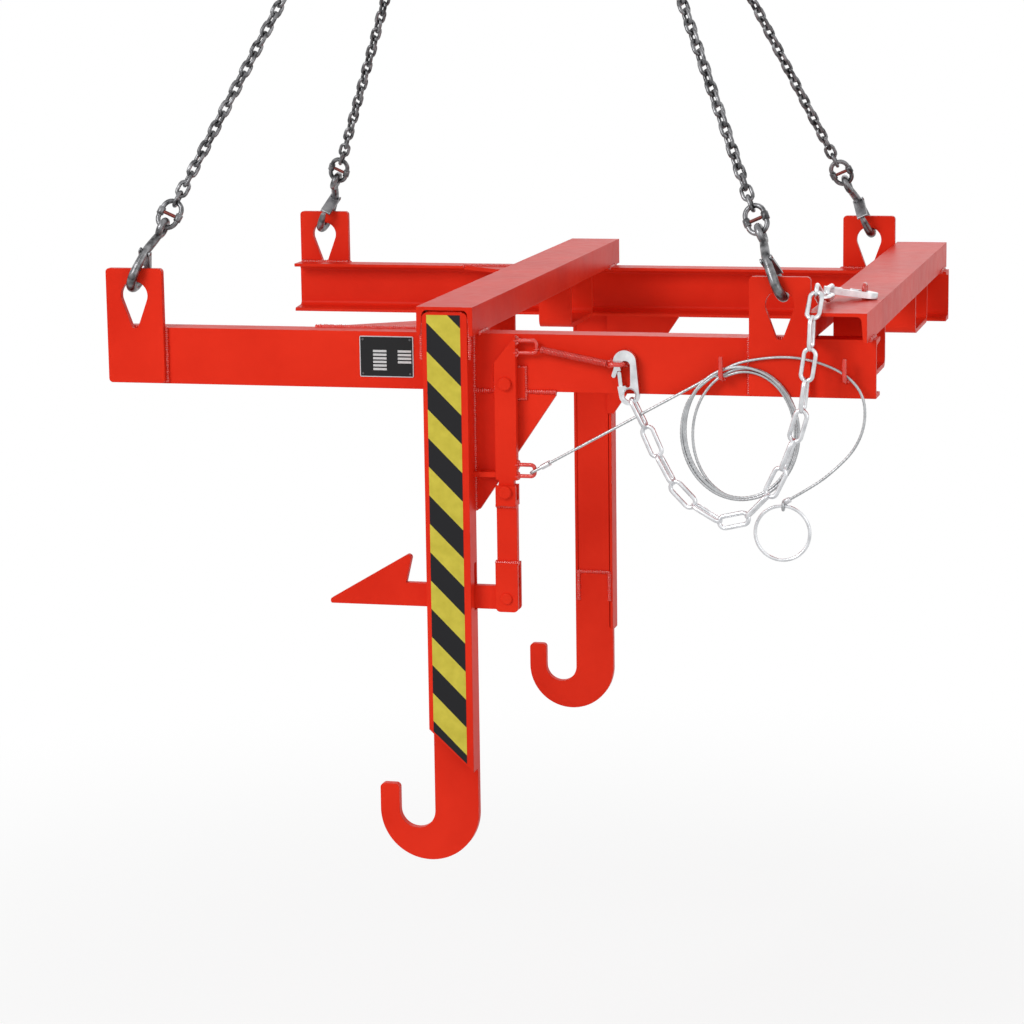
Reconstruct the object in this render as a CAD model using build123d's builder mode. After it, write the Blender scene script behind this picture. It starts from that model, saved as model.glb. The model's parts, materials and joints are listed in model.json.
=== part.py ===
from build123d import *
import math
import os

# A lifting beam with two J-shaped hook plates, a latch and a four-leg chain sling.
# X runs along the long beams, Y across the frame, Z up. The origin is the inner top
# of the master link, where the crane hook bears. All lengths are in millimetres.

# Frame
sling_drop = 1625
frame_width = 1130
lug_spacing = 1155
beam_end_margin = 10
beam_height = 100
beam_flange = 50
beam_web = 6
beam_flange_thickness = 8.5
beam_root_radius = 8.5
beam_toe_radius = 4.5
flange_taper = 0.08
member_overhang = 45

# Lifting lugs
lug_width = 105
lug_thickness = 12
lug_foot = 2
lug_top = 206
lug_corner = 7
lug_hole_radius = 25
lug_hole_height = 158
lug_slot_radius = 7
lug_slot_height = 106

# Legs, covers and hook plates
leg_height = 80
leg_web = 6
leg_flange_thickness = 8
leg_root_radius = 8
leg_toe_radius = 4
leg_top_gap = 4
leg_top_corner = 9
leg_drop_left = 600
leg_drop_right = 675
cover_thickness = 10
cover_top_gap = 5
cover_weld_drop = 550
near_cover_end = 270
weld_gap = 0.1
hook_thickness = 15
throat_width = 66
hook_tip_width = 35
throat_drop = 790
hook_tip_drop = 711
hook_tip_corner = 8

# Plates and brackets on the frame
gusset_reach = 145
gusset_drop = 210
gusset_thickness = 10
gusset_tip = 7
corner_plate_length = 210
corner_plate_width = 145
corner_plate_thickness = 8
corner_plate_lap = 7
fork_spacing = 656
fork_width = 200
fork_strap_width = 65
fork_strap_thickness = 8
fork_corner = 18
fork_foot = 10
seat_gap = 0.3
type_plate_left = -166
type_plate_width = 97.5
type_plate_foot = 20
type_plate_height = 72
type_plate_thickness = 1.5
rivet_radius = 2.5
rivet_inset = 6
tape_width = 60
tape_left = -32
tape_thickness = 0.4
tape_edge_gap = 4

# Latch: lever, link and catch lie in one plane in front of the near beam
latch_back = 5.5
latch_thickness = 14
side_gap = 0.3
cheek_thickness = 7
pivot_x = 100
lever_pivot_height = 15
latch_arm = 189
lever_width = 38
lever_chamfer_height = 52
lever_top = 99
lever_end_drop = 154
tongue_width = 27
bolt_radius = 6
running_gap = 0.05
bolt_head_radius = 11.5
bolt_head_height = 6
bolt_head_edge = 2.5
nut_radius = 10.5
nut_height = 9
clevis_head_radius = 10
clevis_head_height = 4
pad_size = 54
pad_offset = 5
pad_thickness = 5
link_width = 36
link_start = 16
link_end = 35
cheek_width = 40
cheek_top_reach = 11
cheek_top_length = 36
cheek_end_reach = 24
cheek_end_length = 87
cheek_corner = 8
catch_bar_half = 20.75
catch_nose_reach = 224
catch_nose_height = 8
catch_nose_corner = 3.5
catch_top_reach = 72
catch_top_rise = 77
catch_top_corner = 6
catch_notch_reach = 85
catch_tail_reach = 118
catch_tail_corner = 3
catch_slot_width = 18
catch_slot_length = 30
catch_pin_radius = 8
catch_sleeve_radius = 13
catch_collar_radius = 12
catch_collar_thickness = 3
slot_gap = 1.5
right_slot_top = 303
right_slot_foot = 388
left_slot_top = 330
left_slot_foot = 405
stop_drop = 145.5
stop_height = 9
stop_depth = 10
eye_rod_radius = 3.5
eye_bend = 7
spring_eye_height = 79.6
spring_eye_reach = 40
spring_eye_size = 28
rope_eye_drop = 137
rope_eye_reach = 34
rope_eye_size = 27

# Return spring and the staples
spring_radius = 6.7
spring_wire_radius = 1.2
spring_loop_radius = 6
spring_eye_drop = 3.6
spring_end_depth = 17.8
staple_rod_radius = 4
staple_spacing = 23
staple_depth = 24
staple_bend = 6
staple_x = 297
staple_height = 53

# Snap hooks of the safety chain, drawn from the eye along the hook
snap_length = 58
snap_bow_radius = 20
snap_eye_radius = 17.5
snap_eye_hole = 10
snap_eye_chamfer = 3
snap_eye_slack = 1.8
snap_thickness = 10.5
snap_opening_radius = 9
snap_opening_start = 18
snap_opening_end = 51
snap_opening_small = 4.5
snap_gap_start = 17
snap_gap_end = 44
snap_slot_middle = 13.5
snap_slot_width = 8.2
snap_slot_foot = 7.5
snap_nose_radius = 3.75
snap_nose_root = (48, 16.5)
snap_nose_tip = (37, 22)
snap_gate_pivot = (13, 13)
snap_gate_tip = (39.5, 12.5)
snap_gate_radius = 3.2
snap_gate_thickness = 5
snap_pin_radius = 1.6
snap_hang_angle = 32
snap_left_tilt = 98
snap_plane = 11
snap_right_turn = 20

# Safety chain: the rise of each link in degrees, from the left snap hook to the right one
chain_wire_radius = 4
chain_pitch = 54
chain_width = 28.5
chain_seat = 1.4
chain_sides = 6
chain_first_turn = -5
chain_turn = -9.4
chain_rises = [-63, -65, -60, -44, -28, 14, 46, 63, 68, 73, 83, 81, 87]
top_turn = 88
top_rises = [46, -24.5, 0, 0]

# Wire rope, its pegs and the pull ring
rope_radius = 2.5
peg_radius = 4
peg_depth = 27
peg_foot = 33
peg_rise = 38
peg_bend = 7
peg_positions = (479, 690)
hank_x = 515
hank_outer_radius = 106
hank_outer_height = 121
hank_outer_drop = 66
hank_inner_radius = 84
hank_inner_height = 107.5
hank_inner_drop = 58
hank_back = 12.5
hank_thickness = 9
rope_plane = 17
ring_radius = 47
ring_wire_radius = 3
ring_x = 584
ring_drop = 232
clamp_length = 15
clamp_width = 20
clamp_thickness = 9
rope_eye_bend = 6.3
rope_eye_length = 16
rope_eye_slack = 0.8
rope_aim_height = 40.5
rope_lead_reach = 440
rope_lead_height = 23

# Sling
link_sides = 8
master_wire_radius = 10
master_inner_length = 160
master_inner_width = 90
middle_wire_radius = 8
middle_inner_length = 110
middle_inner_width = 60
middle_side_gap = 1
contact_gap = 0.3
coupling_wire_radius = 4.5
coupling_inner_length = 42
coupling_width = 43
sling_wire_radius = 3.5
sling_pitch = 21
sling_width = 23.5
bowl_radius = 27
bowl_wire_radius = 8
bowl_bend = 26.9
bowl_tip_rise = 20
bowl_back_rise = 46
bowl_neck_bend = 22
lug_bar_seat = 15.3
eye_rise = 92
eye_ring_radius = 14
eye_ring_wire_radius = 6.5
flap_pivot = (27, 35)
flap_pivot_radius = 5
flap_tip = (-15.4, 20)
flap_tip_radius = 3
flap_skin = 2.5
flap_pin_radius = 2.5

# Places worked out from the sizes above
floor_line = -sling_drop
near_face = -frame_width / 2
far_face = frame_width / 2
lug_x = lug_spacing / 2
beam_start = -lug_x - lug_width / 2
member_edge = lug_x + lug_width / 2
rear_x = member_edge + beam_height / 2
beam_length = rear_x + beam_height / 2 + beam_end_margin - beam_start
member_length = frame_width + 2 * member_overhang
member_top = beam_height + beam_flange
leg_top = member_top - beam_web - leg_top_gap
cheek_back = latch_back - side_gap
lever_joint_drop = latch_arm - lever_pivot_height
catch_drop = lever_joint_drop + latch_arm

os.makedirs("parts", exist_ok=True)


def finish(builder, name):
    builder.part.label = name
    export_step(builder.part, f"parts/{name}.step")


def front_plane(y):
    # Seen from the front: local x is X and local y is the height over the beams' underside
    return Plane(origin=(0, y, floor_line), x_dir=(1, 0, 0), z_dir=(0, -1, 0))


def latch_plane(depth):
    return front_plane(near_face - depth)


def flange_at(thickness, width, depth):
    return thickness + (width / 2 - depth) * flange_taper


def channel(height, width, web, thickness, root_radius, toe_radius, length):
    # A rolled channel along +Z with its web's outer face at local x = 0
    half = height / 2
    root = half - flange_at(thickness, width, web)
    toe = half - flange_at(thickness, width, width)
    with BuildPart() as bar:
        with BuildSketch() as profile:
            with BuildLine():
                Polyline(
                    (0, -half), (width, -half), (width, -toe), (web, -root),
                    (web, root), (width, toe), (width, half), (0, half), close=True,
                )
            make_face()
            fillet(profile.vertices().group_by(Axis.X)[1], root_radius)
            fillet(profile.vertices().group_by(Axis.X)[-1].sort_by(Axis.Y)[1:3], toe_radius)
        extrude(amount=length)
    return bar.part


def beam_channel(length):
    return channel(
        beam_height, beam_flange, beam_web, beam_flange_thickness,
        beam_root_radius, beam_toe_radius, length,
    )


def leg_channel(length):
    return channel(
        leg_height, member_overhang, leg_web, leg_flange_thickness,
        leg_root_radius, leg_toe_radius, length,
    )


def rod(points, radius, bend):
    # A round rod along straight runs joined by bends of one radius
    with BuildPart() as bar:
        with BuildLine() as route:
            if len(points) == 2:
                Line(points[0], points[1])
            else:
                FilletPolyline(*points, radius=bend)
        with BuildSketch(Plane(origin=route.line @ 0, z_dir=route.line % 0)):
            Circle(radius)
        sweep()
    return bar.part


def oval_link(wire_radius, inner_length, width, sides=0):
    # One link about the origin, long along local X and flat in the local XY plane
    bend = width / 2 - wire_radius
    half = inner_length / 2 + wire_radius - bend
    with BuildPart() as link:
        with BuildLine():
            near = Line((-half, -bend), (half, -bend))
            turn = RadiusArc(near @ 1, (half, bend), -bend)
            far = Line(turn @ 1, (-half, bend))
            RadiusArc(far @ 1, near @ 0, -bend)
        with BuildSketch(Plane(origin=near @ 0, z_dir=near % 0)):
            if sides:
                RegularPolygon(wire_radius, sides, rotation=180 / sides)
            else:
                Circle(wire_radius)
        sweep()
    return link.part


def ring(radius, wire_radius):
    # A closed ring about the origin, flat in the XY plane
    with BuildPart() as hoop:
        with BuildSketch(Plane.XZ):
            with Locations((radius, 0)):
                RegularPolygon(wire_radius, link_sides, rotation=180 / link_sides)
        revolve(axis=Axis.Z)
    return hoop.part


def placed(part, origin, x_dir, z_dir):
    return part.moved(Plane(origin=origin, x_dir=x_dir, z_dir=z_dir).location)


# The long beams with their webs outward

with BuildPart() as near_beam:
    add(placed(
        beam_channel(beam_length),
        (beam_start, near_face, floor_line + beam_height / 2), (0, 1, 0), (1, 0, 0),
    ))
    with BuildSketch(front_plane(near_face + beam_web)):
        with Locations((pivot_x, lever_pivot_height)):
            Circle(bolt_radius + running_gap)
    extrude(amount=beam_web, mode=Mode.SUBTRACT)
finish(near_beam, "near_beam")

with BuildPart() as far_beam:
    add(placed(
        beam_channel(beam_length),
        (beam_start, far_face, floor_line + beam_height / 2), (0, -1, 0), (1, 0, 0),
    ))
finish(far_beam, "far_beam")

# The cross members lie flat on the beams with their webs up
for name, x in (("front_cross_member", 0), ("rear_cross_member", rear_x)):
    with BuildPart() as member:
        add(placed(
            beam_channel(member_length),
            (x, near_face - member_overhang, floor_line + member_top), (0, 0, -1), (0, 1, 0),
        ))
    finish(member, name)

# The lugs stand on the beams' outer faces, each with a teardrop hole
for side, back in (("near", near_face), ("far", far_face + lug_thickness)):
    for end, x in (("left", -lug_x), ("right", lug_x)):
        with BuildPart() as lug:
            with BuildSketch(front_plane(back)) as outline:
                with Locations((x, (lug_foot + lug_top) / 2)):
                    RectangleRounded(lug_width, lug_top - lug_foot, lug_corner)
            extrude(amount=lug_thickness)
            with BuildSketch(front_plane(back)) as hole:
                with Locations((x, lug_hole_height)):
                    Circle(lug_hole_radius)
                with Locations((x, lug_slot_height)):
                    Circle(lug_slot_radius)
                make_hull()
            extrude(amount=lug_thickness, mode=Mode.SUBTRACT)
        finish(lug, f"lug_{side}_{end}")


# The legs are channels cut aslant below, with rounded upper corners under the cross member

def leg_outline(back, depth):
    half = leg_height / 2
    with BuildPart() as outline:
        with BuildSketch(front_plane(back)) as shape:
            with BuildLine():
                Polyline(
                    (-half, leg_top), (half, leg_top), (half, -leg_drop_right),
                    (-half, -leg_drop_left), close=True,
                )
            make_face()
            fillet(shape.vertices().group_by(Axis.Y)[-1], leg_top_corner)
        extrude(amount=depth)
    return outline.part


with BuildPart() as near_leg:
    add(placed(
        leg_channel(leg_top + leg_drop_right),
        (0, near_face - member_overhang, floor_line + leg_top), (0, 1, 0), (0, 0, -1),
    ))
    add(leg_outline(near_face, member_overhang), mode=Mode.INTERSECT)
    with BuildSketch(latch_plane(latch_back - slot_gap)):
        with Locations((leg_height / 4, -(right_slot_top + right_slot_foot) / 2)):
            Rectangle(leg_height / 2, right_slot_foot - right_slot_top)
        with Locations((-leg_height / 4, -(left_slot_top + left_slot_foot) / 2)):
            Rectangle(leg_height / 2, left_slot_foot - left_slot_top)
    extrude(amount=latch_thickness + 2 * slot_gap, mode=Mode.SUBTRACT)
    with BuildSketch(front_plane(near_face)):
        with Locations((0, -catch_drop)):
            Circle(catch_pin_radius + running_gap)
    extrude(amount=member_overhang, mode=Mode.SUBTRACT)
finish(near_leg, "near_leg")

with BuildPart() as far_leg:
    add(placed(
        leg_channel(leg_top + leg_drop_right),
        (0, far_face + member_overhang, floor_line + leg_top), (0, -1, 0), (0, 0, -1),
    ))
    add(leg_outline(far_face + member_overhang, member_overhang), mode=Mode.INTERSECT)
finish(far_leg, "far_leg")


# Cover plates let in between the flanges, flush with their toes

def let_in_width(thickness):
    flange = flange_at(leg_flange_thickness, member_overhang, member_overhang - thickness)
    return leg_height - 2 * flange - 2 * weld_gap


covers = (
    ("near_leg_cover", near_face, near_cover_end),
    ("far_leg_cover", far_face + cover_thickness, cover_weld_drop),
)
for name, back, end in covers:
    with BuildPart() as cover:
        with BuildSketch(front_plane(back)):
            with Locations((0, -(cover_top_gap + end) / 2)):
                Rectangle(let_in_width(cover_thickness), end - cover_top_gap)
        extrude(amount=cover_thickness)
    finish(cover, name)

# J-shaped hook plates: a tongue between the flanges, then the leg's full width and the J
leg_half = leg_height / 2
throat_radius = throat_width / 2
throat_x = -leg_half - throat_radius
throat_z = -throat_drop + throat_radius
outer_radius = (leg_height + throat_width + hook_tip_width) / 2
outer_x = leg_half - outer_radius
tongue_half = let_in_width(hook_thickness) / 2
cut_slope = (leg_drop_right - leg_drop_left) / leg_height


def cut_line(x):
    return -leg_drop_left - (x + leg_half) * cut_slope


for name, back in (("near_hook", near_face), ("far_hook", far_face + hook_thickness)):
    with BuildPart() as hook_plate:
        with BuildSketch(front_plane(back)) as shape:
            with BuildLine():
                tongue = Polyline(
                    (-leg_half, throat_z), (-leg_half, cut_line(-leg_half)),
                    (-tongue_half, cut_line(-tongue_half)), (-tongue_half, -cover_weld_drop),
                    (tongue_half, -cover_weld_drop), (tongue_half, cut_line(tongue_half)),
                    (leg_half, cut_line(leg_half)), (leg_half, throat_z),
                )
                outside = ThreePointArc(
                    tongue @ 1, (outer_x, throat_z - outer_radius),
                    (outer_x - outer_radius, throat_z),
                )
                tip = Polyline(
                    outside @ 1, (outer_x - outer_radius, -hook_tip_drop),
                    (-leg_half - throat_width, -hook_tip_drop), (-leg_half - throat_width, throat_z),
                )
                ThreePointArc(tip @ 1, (throat_x, -throat_drop), tongue @ 0)
            make_face()
            fillet(shape.vertices().group_by(Axis.Y)[1], hook_tip_corner)
        extrude(amount=hook_thickness)
    finish(hook_plate, name)

# Upright gussets under the beams, behind the legs' toes, and flat corner plates
toe_thickness = flange_at(leg_flange_thickness, member_overhang, member_overhang)
gusset_start = leg_half - toe_thickness
for name, back in (("near_gusset", near_face + gusset_thickness), ("far_gusset", far_face)):
    with BuildPart() as gusset:
        with BuildSketch(front_plane(back)):
            with BuildLine():
                Polyline(
                    (gusset_start, 0), (leg_half + gusset_reach, 0),
                    (leg_half + gusset_reach, -gusset_tip), (leg_half + gusset_tip, -gusset_drop),
                    (gusset_start, -gusset_drop), close=True,
                )
            make_face()
        extrude(amount=gusset_thickness)
    finish(gusset, name)

with BuildPart() as corner_plates:
    plate_x = -beam_height / 2 + corner_plate_lap
    for side in (-1, 1):
        toe_y = side * (frame_width / 2 - beam_flange)
        with BuildSketch(Plane.XY.offset(floor_line + beam_height - corner_plate_thickness)):
            with BuildLine():
                Polyline(
                    (plate_x, toe_y), (plate_x, toe_y - side * corner_plate_width),
                    (-beam_height / 2, toe_y - side * corner_plate_width),
                    (-beam_height / 2 - corner_plate_length, toe_y), close=True,
                )
            make_face()
        extrude(amount=corner_plate_thickness)
finish(corner_plates, "corner_plates")

# Bent straps under the cross members that take a truck's forks
strap_top = member_top - beam_web - seat_gap
strap_inside = fork_foot + fork_strap_thickness
for name, x in (("fork_brackets_front", 0), ("fork_brackets_rear", rear_x)):
    with BuildPart() as fork_brackets:
        strap_plane = Plane(
            origin=(x - fork_strap_width / 2, 0, floor_line), x_dir=(0, 1, 0), z_dir=(1, 0, 0),
        )
        for y in (-fork_spacing / 2, fork_spacing / 2):
            with BuildSketch(strap_plane) as strap:
                with Locations((y, (strap_top + fork_foot) / 2)):
                    Rectangle(fork_width, strap_top - fork_foot)
                fillet(strap.vertices().group_by(Axis.Y)[0], fork_corner)
                with Locations((y, (strap_top + strap_inside) / 2)):
                    Rectangle(
                        fork_width - 2 * fork_strap_thickness, strap_top - strap_inside,
                        mode=Mode.SUBTRACT,
                    )
                fillet(strap.vertices().group_by(Axis.Y)[1], fork_corner - fork_strap_thickness)
            extrude(amount=fork_strap_width)
    finish(fork_brackets, name)

# Bare type plate with four rivets, and the hazard tape on the near leg's web
with BuildPart() as type_plate:
    with BuildSketch(front_plane(near_face)):
        with Locations((
            type_plate_left + type_plate_width / 2, type_plate_foot + type_plate_height / 2,
        )):
            RectangleRounded(type_plate_width, type_plate_height, rivet_radius)
    extrude(amount=type_plate_thickness)
finish(type_plate, "type_plate")

with BuildPart() as type_plate_rivets:
    with BuildSketch(front_plane(near_face - type_plate_thickness)):
        with Locations((
            type_plate_left + type_plate_width / 2, type_plate_foot + type_plate_height / 2,
        )):
            with GridLocations(
                type_plate_width - 2 * rivet_inset, type_plate_height - 2 * rivet_inset, 2, 2,
            ):
                Circle(rivet_radius)
    extrude(amount=rivet_radius / 2, taper=30)
finish(type_plate_rivets, "type_plate_rivets")

tape_right = tape_left + tape_width
with BuildPart() as hazard_tape:
    with BuildSketch(front_plane(near_face - member_overhang)):
        with BuildLine():
            Polyline(
                (tape_left, leg_top - tape_edge_gap), (tape_left, cut_line(tape_left) + tape_edge_gap),
                (tape_right, cut_line(tape_right) + tape_edge_gap),
                (tape_right, leg_top - tape_edge_gap), close=True,
            )
        make_face()
    extrude(amount=tape_thickness)
finish(hazard_tape, "hazard_tape")

# Lever: a flat bar with a tongue below that the link's cheeks take
lever_left = pivot_x - lever_width / 2
lever_right = pivot_x + lever_width / 2

with BuildPart() as lever:
    with BuildSketch(latch_plane(latch_back)):
        with BuildLine():
            Polyline(
                (lever_left, lever_chamfer_height), (lever_right, lever_top),
                (lever_right, -lever_end_drop), (lever_left, -lever_end_drop), close=True,
            )
        make_face()
        with Locations((pivot_x, -(lever_end_drop + lever_joint_drop) / 2)):
            Rectangle(tongue_width, lever_joint_drop - lever_end_drop)
        with Locations((pivot_x, -lever_joint_drop)):
            Circle(tongue_width / 2)
        with Locations((pivot_x, lever_pivot_height), (pivot_x, -lever_joint_drop)):
            Circle(bolt_radius + running_gap, mode=Mode.SUBTRACT)
    extrude(amount=latch_thickness)
finish(lever, "lever")


def eye_points(x, reach, height, size, depth):
    y = near_face - depth
    crown = x + reach - eye_rod_radius
    top = floor_line + height + size / 2 - eye_rod_radius
    foot = floor_line + height - size / 2 + eye_rod_radius
    return [(x, y, foot), (crown, y, foot), (crown, y, top), (x, y, top)]


eye_depth = latch_back + latch_thickness / 2
with BuildPart() as lever_eyes:
    add(rod(
        eye_points(lever_right, spring_eye_reach, spring_eye_height, spring_eye_size, eye_depth),
        eye_rod_radius, eye_bend,
    ))
    add(rod(
        eye_points(lever_right, rope_eye_reach, -rope_eye_drop, rope_eye_size, eye_depth),
        eye_rod_radius, eye_bend,
    ))
finish(lever_eyes, "lever_eyes")


def pin(height, front_depth, back_depth, head_radius, head_height):
    # A domed head in front of the first wall and the shank back through the last one
    with BuildPart() as fastener:
        with BuildSketch(latch_plane(front_depth)):
            with Locations((pivot_x, height)):
                Circle(head_radius)
        extrude(amount=head_height)
        fillet(fastener.edges().group_by(Axis.Y)[0], bolt_head_edge)
        with BuildSketch(latch_plane(back_depth)):
            with Locations((pivot_x, height)):
                Circle(bolt_radius)
        extrude(amount=front_depth - back_depth)
    return fastener.part


with BuildPart() as lever_pivot_bolt:
    add(pin(
        lever_pivot_height, latch_back + latch_thickness + side_gap, -beam_web,
        bolt_head_radius, bolt_head_height,
    ))
finish(lever_pivot_bolt, "lever_pivot_bolt")

with BuildPart() as pivot_pad:
    with BuildSketch(front_plane(near_face)):
        with Locations((pivot_x + pad_offset, lever_pivot_height)):
            Rectangle(pad_size, pad_size)
        with Locations((pivot_x, lever_pivot_height)):
            Circle(bolt_radius + running_gap, mode=Mode.SUBTRACT)
    extrude(amount=pad_thickness)
finish(pivot_pad, "pivot_pad")

with BuildPart() as lever_stop:
    with BuildSketch(latch_plane(latch_back + (latch_thickness - stop_depth) / 2)):
        with Locations(((leg_half + lever_left - contact_gap) / 2, -stop_drop)):
            Rectangle(lever_left - contact_gap - leg_half, stop_height)
    extrude(amount=stop_depth)
finish(lever_stop, "lever_stop")

# Link: a flat bar as thick as the gap between the cheeks welded to its ends
link_thickness = latch_thickness + 2 * side_gap
with BuildPart() as link_bar:
    with BuildSketch(latch_plane(cheek_back)):
        link_foot = latch_arm - link_end
        with Locations((pivot_x, -lever_joint_drop - (link_start + link_foot) / 2)):
            Rectangle(link_width, link_foot - link_start)
    extrude(amount=link_thickness)
finish(link_bar, "link_bar")

cheek_backs = (cheek_back - cheek_thickness, cheek_back + link_thickness)
with BuildPart() as link_clevis:
    for back in cheek_backs:
        with BuildSketch(latch_plane(back)) as cheeks:
            with Locations((pivot_x, -lever_joint_drop + cheek_top_reach - cheek_top_length / 2)):
                Rectangle(link_width, cheek_top_length)
            with Locations((pivot_x, -catch_drop - cheek_end_reach + cheek_end_length / 2)):
                Rectangle(cheek_width, cheek_end_length)
            fillet(cheeks.vertices().group_by(Axis.Y)[0], cheek_corner)
            with Locations((pivot_x, -lever_joint_drop), (pivot_x, -catch_drop)):
                Circle(bolt_radius, mode=Mode.SUBTRACT)
        extrude(amount=cheek_thickness)
finish(link_clevis, "link_clevis")

cheek_front = cheek_backs[1] + cheek_thickness
with BuildPart() as link_pivot_bolt:
    add(pin(
        -lever_joint_drop, cheek_front, cheek_backs[0] - nut_height,
        bolt_head_radius, bolt_head_height,
    ))
    with BuildSketch(latch_plane(cheek_backs[0] - nut_height)):
        with Locations((pivot_x, -lever_joint_drop)):
            RegularPolygon(nut_radius, 6)
    extrude(amount=nut_height)
finish(link_pivot_bolt, "link_pivot_bolt")

with BuildPart() as clevis_pin:
    add(pin(
        -catch_drop, cheek_front, cheek_backs[0] - clevis_head_height,
        clevis_head_radius, clevis_head_height,
    ))
    with BuildSketch(latch_plane(cheek_backs[0] - clevis_head_height)):
        with Locations((pivot_x, -catch_drop)):
            Circle(clevis_head_radius)
    extrude(amount=clevis_head_height)
finish(clevis_pin, "clevis_pin")

# Catch: an arrow-shaped plate that swings on a pin in the near leg
with BuildPart() as catch:
    with BuildSketch(latch_plane(latch_back)) as arrow:
        bar_top = -catch_drop + catch_bar_half
        bar_foot = -catch_drop - catch_bar_half
        with BuildLine():
            Polyline(
                (-catch_nose_reach, bar_foot), (-catch_nose_reach, bar_foot + catch_nose_height),
                (-catch_top_reach, -catch_drop + catch_top_rise), (-catch_notch_reach, bar_top),
                (catch_tail_reach, bar_top), (catch_tail_reach, bar_foot), close=True,
            )
        make_face()
        fillet(arrow.vertices().group_by(Axis.X)[0], catch_nose_corner)
        fillet(arrow.vertices().group_by(Axis.Y)[-1], catch_top_corner)
        fillet(arrow.vertices().group_by(Axis.X)[-1], catch_tail_corner)
        with Locations((0, -catch_drop)):
            Circle(catch_pin_radius + running_gap, mode=Mode.SUBTRACT)
        with Locations((pivot_x, -catch_drop)):
            SlotOverall(catch_slot_length, catch_slot_width, rotation=90, mode=Mode.SUBTRACT)
    extrude(amount=latch_thickness)
finish(catch, "catch")

with BuildPart() as catch_pivot_pin:
    with BuildSketch(latch_plane(latch_back - side_gap - catch_collar_thickness)):
        with Locations((0, -catch_drop)):
            Circle(catch_collar_radius)
    extrude(amount=catch_collar_thickness)
    with BuildSketch(latch_plane(latch_back - side_gap)):
        with Locations((0, -catch_drop)):
            Circle(catch_pin_radius)
    extrude(amount=member_overhang - latch_back + side_gap)
    sleeve_back = latch_back + latch_thickness + side_gap
    with BuildSketch(latch_plane(sleeve_back)):
        with Locations((0, -catch_drop)):
            Circle(catch_sleeve_radius)
    extrude(amount=member_overhang - leg_web - sleeve_back)
finish(catch_pivot_pin, "catch_pivot_pin")

# Return spring: the coil's outer shape with a loop at each end. One loop is round the
# lever's upper eye, the other round the left leg of the staple on the near beam.
left_leg_x = staple_x - staple_spacing / 2
right_leg_x = staple_x + staple_spacing / 2
staple_z = floor_line + staple_height
staple_y = near_face - staple_depth
eye_y = near_face - eye_depth
loop_slack = spring_loop_radius - spring_wire_radius - eye_rod_radius - contact_gap
spring_start = Vector(
    lever_right + spring_eye_reach - eye_rod_radius + loop_slack, eye_y,
    floor_line + spring_eye_height - spring_eye_drop,
)
spring_end = Vector(left_leg_x, near_face - spring_end_depth, staple_z)
spring_line = (spring_end - spring_start).normalized()
loop_outside = spring_loop_radius + spring_wire_radius / 3
with BuildPart() as return_spring:
    with BuildSketch(Plane(origin=spring_start + spring_line * loop_outside, z_dir=spring_line)):
        Circle(spring_radius)
    extrude(amount=(spring_end - spring_start).length - 2 * loop_outside)
    loop = ring(spring_loop_radius, spring_wire_radius)
    add(loop.moved(Location(spring_start)))
    add(placed(loop, spring_end, (1, 0, 0), (0, -1, 0)))
finish(return_spring, "return_spring")


# Snap hooks: a flat forged body with a chain eye, an opening and a sprung gate

def snap_body():
    with BuildPart() as body:
        with BuildSketch():
            with Locations((0, 0)):
                Circle(snap_eye_radius)
            with Locations((snap_length, 0)):
                Circle(snap_bow_radius)
            make_hull()
        extrude(amount=snap_thickness / 2, both=True)
        with BuildSketch():
            with Locations((snap_opening_start, 0)):
                Circle(snap_opening_small)
            with Locations((snap_opening_end, 0)):
                Circle(snap_opening_radius)
            make_hull()
        extrude(amount=snap_thickness / 2, both=True, mode=Mode.SUBTRACT)
        with BuildSketch():
            Circle(snap_eye_hole)
        extrude(amount=snap_thickness / 2, both=True, mode=Mode.SUBTRACT)
        rims = body.edges().filter_by(GeomType.CIRCLE)
        chamfer([rim for rim in rims if abs(rim.radius - snap_eye_hole) < 0.01], snap_eye_chamfer)
        with BuildSketch():
            with Locations(((snap_gap_start + snap_gap_end) / 2, snap_bow_radius)):
                Rectangle(snap_gap_end - snap_gap_start, 2 * snap_bow_radius)
        extrude(amount=snap_thickness / 2, both=True, mode=Mode.SUBTRACT)
        with BuildSketch():
            with Locations((snap_slot_middle, snap_slot_foot + snap_bow_radius)):
                Rectangle(snap_slot_width, 2 * snap_bow_radius)
        extrude(amount=snap_gate_thickness / 2 + contact_gap, both=True, mode=Mode.SUBTRACT)
        with BuildSketch():
            with Locations(snap_nose_root, snap_nose_tip):
                Circle(snap_nose_radius)
            make_hull()
        extrude(amount=snap_thickness / 2, both=True)
        with BuildSketch():
            with Locations(snap_gate_pivot):
                Circle(snap_pin_radius + running_gap)
        extrude(amount=snap_thickness / 2, both=True, mode=Mode.SUBTRACT)
    return body.part


def snap_gate():
    with BuildPart() as gate:
        with BuildSketch():
            with Locations(snap_gate_pivot, snap_gate_tip):
                Circle(snap_gate_radius)
            make_hull()
        extrude(amount=snap_gate_thickness / 2, both=True)
        with BuildSketch():
            with Locations(snap_gate_pivot):
                Circle(snap_pin_radius)
        extrude(amount=snap_thickness / 2, both=True)
    return gate.part


hang_reach = snap_opening_radius - staple_rod_radius - 3 * contact_gap
hang_x = snap_opening_end + hang_reach * math.cos(math.radians(snap_hang_angle))
hang_y = hang_reach * math.sin(math.radians(snap_hang_angle))

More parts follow.
